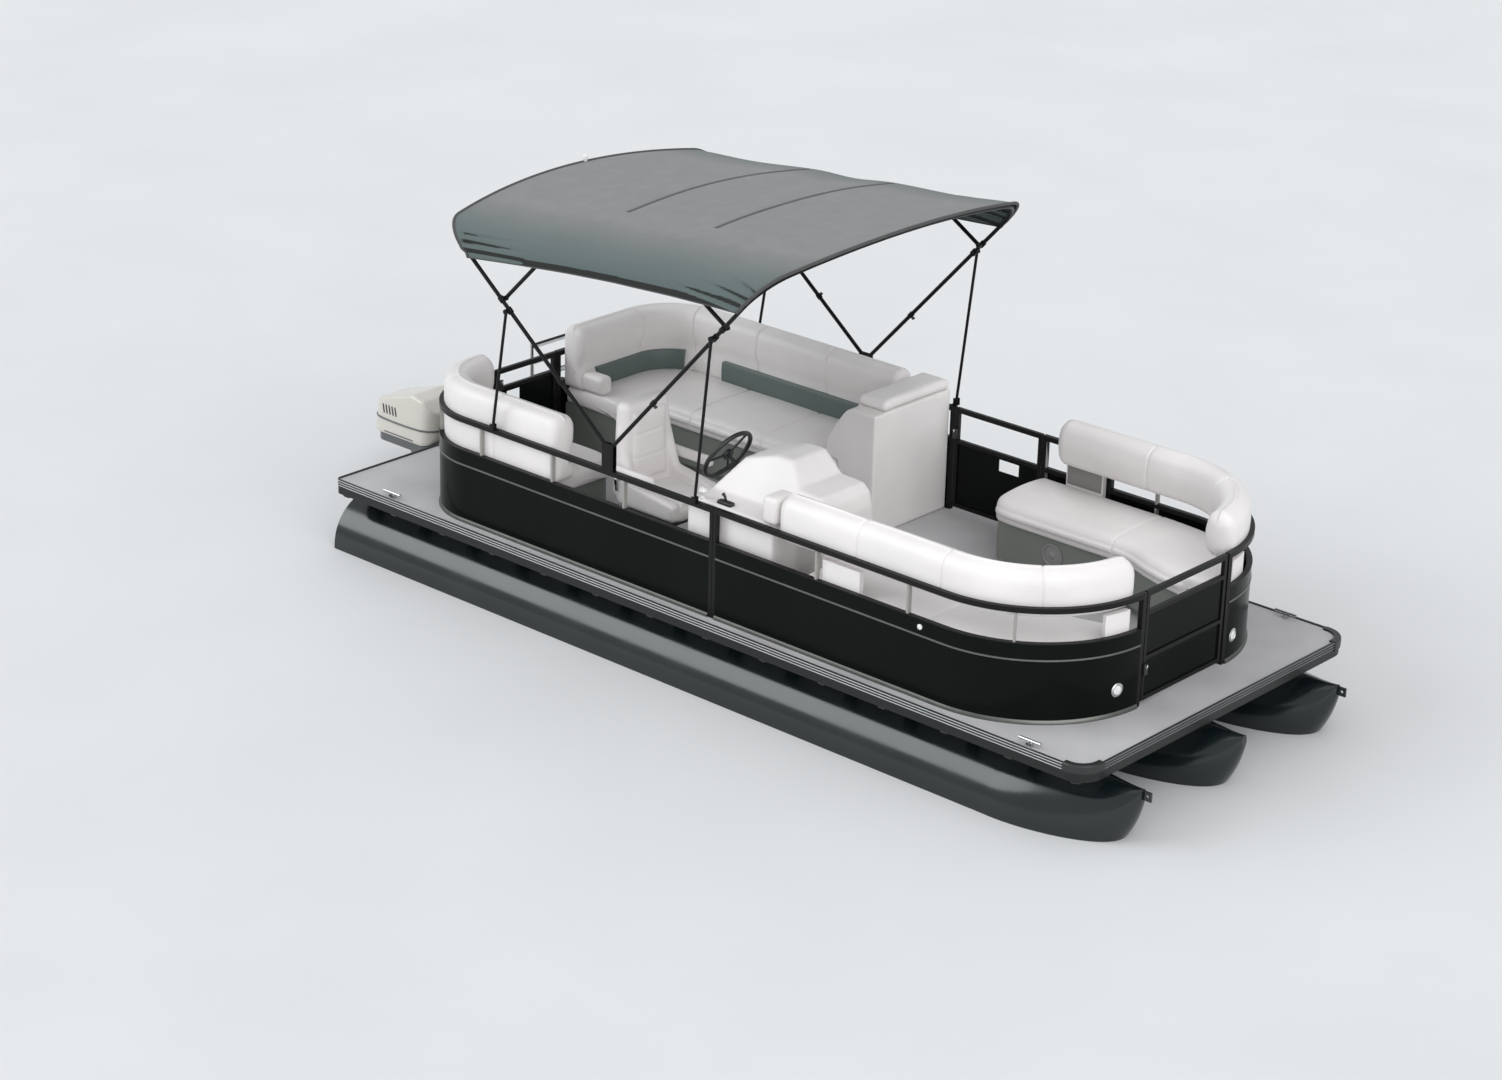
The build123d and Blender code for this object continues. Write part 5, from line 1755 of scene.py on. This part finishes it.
def build_console_fittings():
    """Dash, throttle and a ball light on the console, and the door on its inner side."""
    dark, lens = FINISH["dark_plastic"], FINISH["clear_lens"]
    ledge = CONSOLE_LOW.y + 0.045
    lever = [(0.21, ledge, 1.212), (0.204, ledge, 1.245), (0.185, ledge, 1.262)]
    box_low, box_high = (0.155, ledge - 0.024, TRAY_TOP), (0.265, ledge + 0.024, TRAY_TOP + 0.028)
    light = (0.045, CONSOLE_LOW.y + 0.022, TRAY_TOP + 0.002)
    fittings = [
        *build_dash(),
        rounded_box("throttle_box", box_low, box_high, 0.01, dark, 3),
        tube("throttle_lever", lever, [0.009, 0.008, 0.012], dark),
        turned("ball_light", light, UP, BALL_LIGHT, lens, 20),
    ]
    place(join(fittings, "helm_fittings"), "root")
    y = CONSOLE_HIGH.y
    door_low, door_high = (0.10, y - 0.012, 0.60), (0.55, y + 0.0035, 1.10)
    door = rounded_box("door", door_low, door_high, 0.004, FINISH["gelcoat"], 3)
    latch = turned("door_latch", (0.15, y + 0.003, 0.87), (0, 1, 0), DOOR_LATCH, dark, 20)
    place(join([door, latch], "console_door"), "root")


class BOAT_OT_helm(bpy.types.Operator):
    """Padded helm chair, and the console with its fittings"""

    bl_idname = "boat.helm"
    bl_label = "Helm"

    def execute(self, context):
        build_chair()
        shell = moulded("helm_console", "console_shell", FINISH["gelcoat"], 0.011, 12)
        place(shell, "root", "helm_console")
        build_console_fittings()
        return {"FINISHED"}


# Lounge end, speakers and accents
END_PAD_HEIGHT = 0.065
# Section of the accent bands, outward from the back's face and up at its own height
BAND = [
    (0.03, 0.955),
    (-0.012, 0.955),
    (-0.016, 0.975),
    (-0.017, 1.03),
    (-0.014, 1.082),
    (-0.008, 1.094),
    (0.03, 1.094),
]
BAND_SIDE = (-1.73, -0.55)
BAND_STERN_START = 0.29
BAND_STERN_LENGTH = 0.74
SPEAKER_RING = [(0, 0.078), (0.006, 0.078), (0.009, 0.070), (0.008, 0.062), (0.003, 0.058)]
SPEAKER_CONE = [
    (0.002, 0.06),
    (0.0045, 0.055),
    (0.003, 0.022),
    (0.006, 0.020),
    (0.009, 0.010),
    (0.0095, 0.0),
]
SPEAKER_Z = 0.70
SPEAKER_FROM_AFT = 0.49
# How far a couch's base stands out past its cushion's front line
BASE_OUT = 0.03
# Grey panels on the couch supports
SUPPORT_DEPTH = 0.038
GREY_PANEL_THICKNESS = 0.003
GREY_PANEL_EDGE = 0.002


def build_lounge_end():
    """Tall end of the port lounge: a soft stepped body with a pad on top."""
    low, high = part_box("port_lounge_end")
    body = moulded("port_lounge_end", "end_body", FINISH["vinyl"], 0.009, 9)
    pad_foot = high.z - END_PAD_HEIGHT
    body_top = pad_foot - 0.004
    for vertex in body.data.vertices:
        vertex.co.z = min(vertex.co.z, body_top)
    pad_low = (high.x - 0.232, low.y + 0.092, pad_foot)
    pad_high = (high.x - 0.002, high.y - 0.002, high.z)
    pad = rounded_box("end_pad", pad_low, pad_high, 0.028, FINISH["vinyl"], 6)
    inflate(pad, 0.006)
    whole = join([body, pad], "lounge_end_pads")
    place(whole, "root", "port_lounge_end")


def build_loose_pads():
    """Arm rest on the lounge's stern end, and the block pad aft of the starboard couch."""
    vinyl = FINISH["vinyl"]
    x = Outline(1, BACK_INSET).aft + 0.17
    rest = rounded_box("lounge_arm_rest", (x, 0.158, 0.957), (x + 0.19, 0.272, 1.085), 0.035, vinyl)
    place(rest, "root")
    block_low = (0.548, -(FENCE_SIDE - BACK_INSET), FENCE_TOP + BLOCK_GAP)
    block_pad = rounded_box("couch_end_block", block_low, (0.654, -0.99, 1.372), 0.03, vinyl)
    place(block_pad, "root")


def build_accents():
    """Grey-green bands on the lounge's back, grey panels on the couch supports, and speakers."""
    line = Outline(1, BACK_INSET + BACK_THICKNESS)
    stern_start = line.from_stern_y(BAND_STERN_START)
    spans = (
        tuple(line.from_side_x(x) for x in BAND_SIDE),
        (stern_start, stern_start + BAND_STERN_LENGTH),
    )
    bands = [
        strip(f"band_{k}", line, span, BAND, FINISH["accent"], 0.03) for k, span in enumerate(spans)
    ]
    place(join(bands, "lounge_accent_bands"), "root")
    build_loose_pads()
    panels, speakers = [], []
    for side, word in COUCH_SIDES:
        aft_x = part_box(f"{word}_couch_cushion")[0].x
        y = side * (FENCE_SIDE - BACK_INSET - SUPPORT_DEPTH)
        inner, outer = sorted((y, y + side * GREY_PANEL_THICKNESS))
        low = (aft_x + 0.20, inner - GREY_PANEL_EDGE, 0.955)
        high = (aft_x + 0.46, outer + GREY_PANEL_EDGE, 1.10)
        grey = FINISH["grey_panel"]
        panels.append(rounded_box(f"panel_{side}", low, high, GREY_PANEL_EDGE, grey, 2))
        speaker_y = side * (COUCH_FRONT + BASE_OUT) - side * 0.001
        centre = (aft_x + SPEAKER_FROM_AFT, speaker_y, SPEAKER_Z)
        for name, profile, finish in (
            ("ring", SPEAKER_RING, "ring_plastic"),
            ("cone", SPEAKER_CONE, "grey_panel"),
        ):
            out = (0, -side, 0)
            speakers.append(turned(f"{name}_{side}", centre, out, profile, FINISH[finish], 32))
    place(join(panels, "couch_support_panels"), "root")
    place(join(speakers, "couch_speakers"), "root")


class BOAT_OT_seat_details(bpy.types.Operator):
    """Lounge end with its pad, accent bands, support panels and speakers"""

    bl_idname = "boat.seat_details"
    bl_label = "Seat details"

    def execute(self, context):
        build_lounge_end()
        build_accents()
        return {"FINISHED"}


# Engine and ladder
# Rungs of the ladder: height of its foot, length over the rungs and their number
LADDER_FOOT = 0.465
LADDER_RUN = 0.46
RUNGS = 4
# Treads: rows across a rung, lift above its axis and distance from the ladder's sides
TREAD_ROWS = (-0.012, 0.0, 0.012)
TREAD_LIFT = 0.0095
TREAD_END = 0.04
# Lines round the hood: name, height above its foot, radius
HOOD_LINES = (("seam", 0.022, 0.0045), ("belt", 0.105, 0.0075))
HOOD_POINTS = 64
# Cooling slots on each side of the hood
SLOT_COUNT = 5
SLOT_PITCH = 0.03
SLOT_START = 0.14
SLOT_LEAN = 0.02
SLOT_FOOT = 0.15
SLOT_HEIGHT = 0.06
# Lift handle: height above the hood's foot, then sideways and lift off the skin
HANDLE_RISE = 0.17
HANDLE = ((-0.07, 0.0), (-0.06, 0.022), (0.06, 0.022), (0.07, 0.0))


def build_ladder_treads():
    """Three rubber cords on top of every rung."""
    low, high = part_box("ladder")
    treads = []
    for k in range(RUNGS):
        z = LADDER_FOOT + (k + 1) * LADDER_RUN / RUNGS + TREAD_LIFT
        for row in TREAD_ROWS:
            x = (low.x + high.x) / 2 + row
            ends = [(x, low.y + TREAD_END, z), (x, high.y - TREAD_END, z)]
            treads.append(tube(f"tread_{k}_{row}", ends, 0.003, FINISH["rubber"], 6))
    place(join(treads, "ladder_treads"), "ladder")


def build_engine_trim(cowl):
    """Seam, belt, cooling slots and lift handle that follow the hood's skin."""
    low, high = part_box("engine_cowl")
    work = bmesh.new()
    work.from_mesh(cowl.data)
    skin = BVHTree.FromBMesh(work)
    work.free()

    def on_skin(point, lift=0.0):
        spot, normal = skin.find_nearest(Vector(point))[:2]
        return spot + normal * lift

    size = (high.x - low.x) / 2
    wide = (high.y - low.y) / 2
    centre = Vector(((low.x + high.x) / 2, (low.y + high.y) / 2, 0))
    turns = [2 * pi * i / HOOD_POINTS for i in range(HOOD_POINTS)]
    pieces = []
    for name, rise, radius in HOOD_LINES:
        z = low.z + rise
        line = [on_skin(centre + Vector((size * cos(t), wide * sin(t), z)), 0.0005) for t in turns]
        pieces.append(tube(f"engine_{name}", line + [line[0]], radius, FINISH["engine_grey"], 8))
    for side in (-1, 1):
        y = centre.y + side * wide
        for k in range(SLOT_COUNT):
            x = low.x + SLOT_START + SLOT_PITCH * k
            foot = (x, y, low.z + SLOT_FOOT)
            head = (x - SLOT_LEAN, y, low.z + SLOT_FOOT + SLOT_HEIGHT)
            ends = [on_skin(foot), on_skin(head)]
            pieces.append(tube(f"slot_{side}_{k}", ends, 0.0055, FINISH["dark_plastic"], 6))
    grip = [on_skin((low.x, y, low.z + HANDLE_RISE), lift) for y, lift in HANDLE]
    pieces.append(tube("lift_handle", grip, 0.008, FINISH["dark_plastic"], 8))
    place(join(pieces, "engine_trim"), "engine")


class BOAT_OT_stern(bpy.types.Operator):
    """Trim of the outboard engine and grips of the boarding ladder"""

    bl_idname = "boat.stern"
    bl_label = "Engine and ladder"

    def execute(self, context):
        cowl = moulded("engine_cowl", "engine_hood", FINISH["engine_cream"], 0.010, 14)
        place(cowl, "engine", "engine_cowl")
        build_engine_trim(cowl)
        build_ladder_treads()
        return {"FINISHED"}


class BOAT_OT_finishes(bpy.types.Operator):
    """Materials, and their place on the frame's own pieces"""

    bl_idname = "boat.finishes"
    bl_label = "Finishes"

    def execute(self, context):
        make_finishes()
        finish_carried_nodes()
        return {"FINISHED"}


# Stage
# The camera stands where the photograph's perspective puts it; its focal length is in pixels
PHOTO_WIDTH = 1502
CAMERA_FOCAL_PIXELS = 3371.0
CAMERA_SENSOR = 36.0
CAMERA_PLACE = Vector((12.563, -14.782, 8.522))
CAMERA_HEADING = 41.6115
CAMERA_DIP = 22.2621
CAMERA_ROLL = 1.4993
FLOOR_HALF = 60.0
AROUND_COLOUR = (0.94, 0.97, 1.0)
AROUND_STRENGTH = 0.60
# Lights: name, direction towards the light, angle it spans in degrees, strength, colour
LIGHTS = (
    ("key", (-0.60, -0.58, 0.55), 36, 1.05, (0.95, 0.985, 1.0)),
    ("bow_fill", (0.78, -0.36, 0.50), 70, 1.5, (1, 1, 1)),
    ("top_fill", (0.1, -0.1, 1.0), 70, 0.35, (1, 1, 1)),
)


def build_camera():
    """Camera at the photograph's viewing angle."""
    data = bpy.data.cameras.new("camera")
    data.sensor_width = CAMERA_SENSOR
    data.lens = CAMERA_SENSOR * CAMERA_FOCAL_PIXELS / PHOTO_WIDTH
    data.clip_end = 200
    camera = bpy.data.objects.new("camera", data)
    bpy.context.scene.collection.objects.link(camera)
    heading, dip, roll = (radians(a) for a in (CAMERA_HEADING, CAMERA_DIP, CAMERA_ROLL))
    ahead = Vector((-sin(heading) * cos(dip), cos(heading) * cos(dip), -sin(dip)))
    right = ahead.cross(UP).normalized()
    up = right.cross(ahead)
    rolled_right = right * cos(roll) + up * sin(roll)
    rolled_up = up * cos(roll) - right * sin(roll)
    columns = (rolled_right, rolled_up, -ahead, CAMERA_PLACE)
    rows = [[column[k] for column in columns] for k in range(3)]
    camera.matrix_world = Matrix((*rows, (0, 0, 0, 1)))
    bpy.context.scene.camera = camera


def build_world():
    """Soft surrounding light, and a plain white background for the camera."""
    world = bpy.data.worlds.new("soft_studio")
    world.use_nodes = True
    tree = world.node_tree
    around = tree.nodes["Background"]
    around.inputs["Color"].default_value = (*AROUND_COLOUR, 1)
    around.inputs["Strength"].default_value = AROUND_STRENGTH
    seen = tree.nodes.new("ShaderNodeBackground")
    seen.inputs["Color"].default_value = (1, 1, 1, 1)
    seen.inputs["Strength"].default_value = 1.0
    path = tree.nodes.new("ShaderNodeLightPath")
    mix = tree.nodes.new("ShaderNodeMixShader")
    tree.links.new(path.outputs["Is Camera Ray"], mix.inputs["Fac"])
    tree.links.new(around.outputs["Background"], mix.inputs[1])
    tree.links.new(seen.outputs["Background"], mix.inputs[2])
    tree.links.new(mix.outputs["Shader"], tree.nodes["World Output"].inputs["Surface"])
    bpy.context.scene.world = world


def soft_light(name, towards, angle, strength, colour):
    """Wide even light from a direction, the same over the whole floor."""
    data = bpy.data.lights.new(name, "SUN")
    data.angle = radians(angle)
    data.energy = strength
    data.color = colour
    lamp = bpy.data.objects.new(name, data)
    lamp.rotation_euler = Vector(towards).to_track_quat("Z", "Y").to_euler()
    bpy.context.scene.collection.objects.link(lamp)


def build_floor():
    """Pale floor at the waterline."""
    half = FLOOR_HALF
    corners = [(-half, -half, 0), (half, -half, 0), (half, half, 0), (-half, half, 0)]
    floor = mesh_object("floor", corners, [(0, 1, 2, 3)], [])
    material, tree, shader, coords = start_material("pale_floor", 0.7, specular=0.2)
    grain = use_group(tree, grain_group(), coords, Scale=60.0, Mottle=0.6)
    stops = [(0.3, (0.71, 0.715, 0.72)), (0.7, (0.74, 0.745, 0.75))]
    paint_with(tree, shader, colour_ramp(tree, grain.outputs["Mask"], stops))
    floor.data.materials.append(material)


class BOAT_OT_stage(bpy.types.Operator):
    """Camera, soft light and the pale floor at the waterline"""

    bl_idname = "boat.stage"
    bl_label = "Stage"

    def execute(self, context):
        build_camera()
        build_world()
        build_floor()
        for light in LIGHTS:
            soft_light(*light)
        context.scene.view_settings.view_transform = "Standard"
        return {"FINISHED"}


class BOAT_PT_parts(bpy.types.Panel):
    """Sidebar list of the boat's parts"""

    bl_idname = "BOAT_PT_parts"
    bl_label = "Boat"
    bl_space_type = "VIEW_3D"
    bl_region_type = "UI"
    bl_category = "Boat"

    def draw(self, context):
        column = self.layout.column()
        for operator in OPERATORS:
            column.operator(operator.bl_idname)
        for group in (context.scene.boat_sizes, context.scene.boat_colours):
            for name in group.bl_rna.properties.keys():
                if name not in ("rna_type", "name"):
                    column.prop(group, name)


OPERATORS = (
    BOAT_OT_finishes,
    BOAT_OT_stage,
    BOAT_OT_seats,
    BOAT_OT_seat_details,
    BOAT_OT_canopy,
    BOAT_OT_fence,
    BOAT_OT_deck,
    BOAT_OT_helm,
    BOAT_OT_stern,
)
CLASSES = (BoatSizes, BoatColours, *OPERATORS, BOAT_PT_parts)


def register():
    for cls in CLASSES:
        bpy.utils.register_class(cls)
    bpy.types.Scene.boat_sizes = bpy.props.PointerProperty(type=BoatSizes)
    bpy.types.Scene.boat_colours = bpy.props.PointerProperty(type=BoatColours)


def unregister():
    del bpy.types.Scene.boat_colours
    del bpy.types.Scene.boat_sizes
    for cls in reversed(CLASSES):
        bpy.utils.unregister_class(cls)


def main():
    register()
    for operator in OPERATORS:
        group, name = operator.bl_idname.split(".")
        getattr(getattr(bpy.ops, group), name)()


if __name__ == "__main__":
    main()
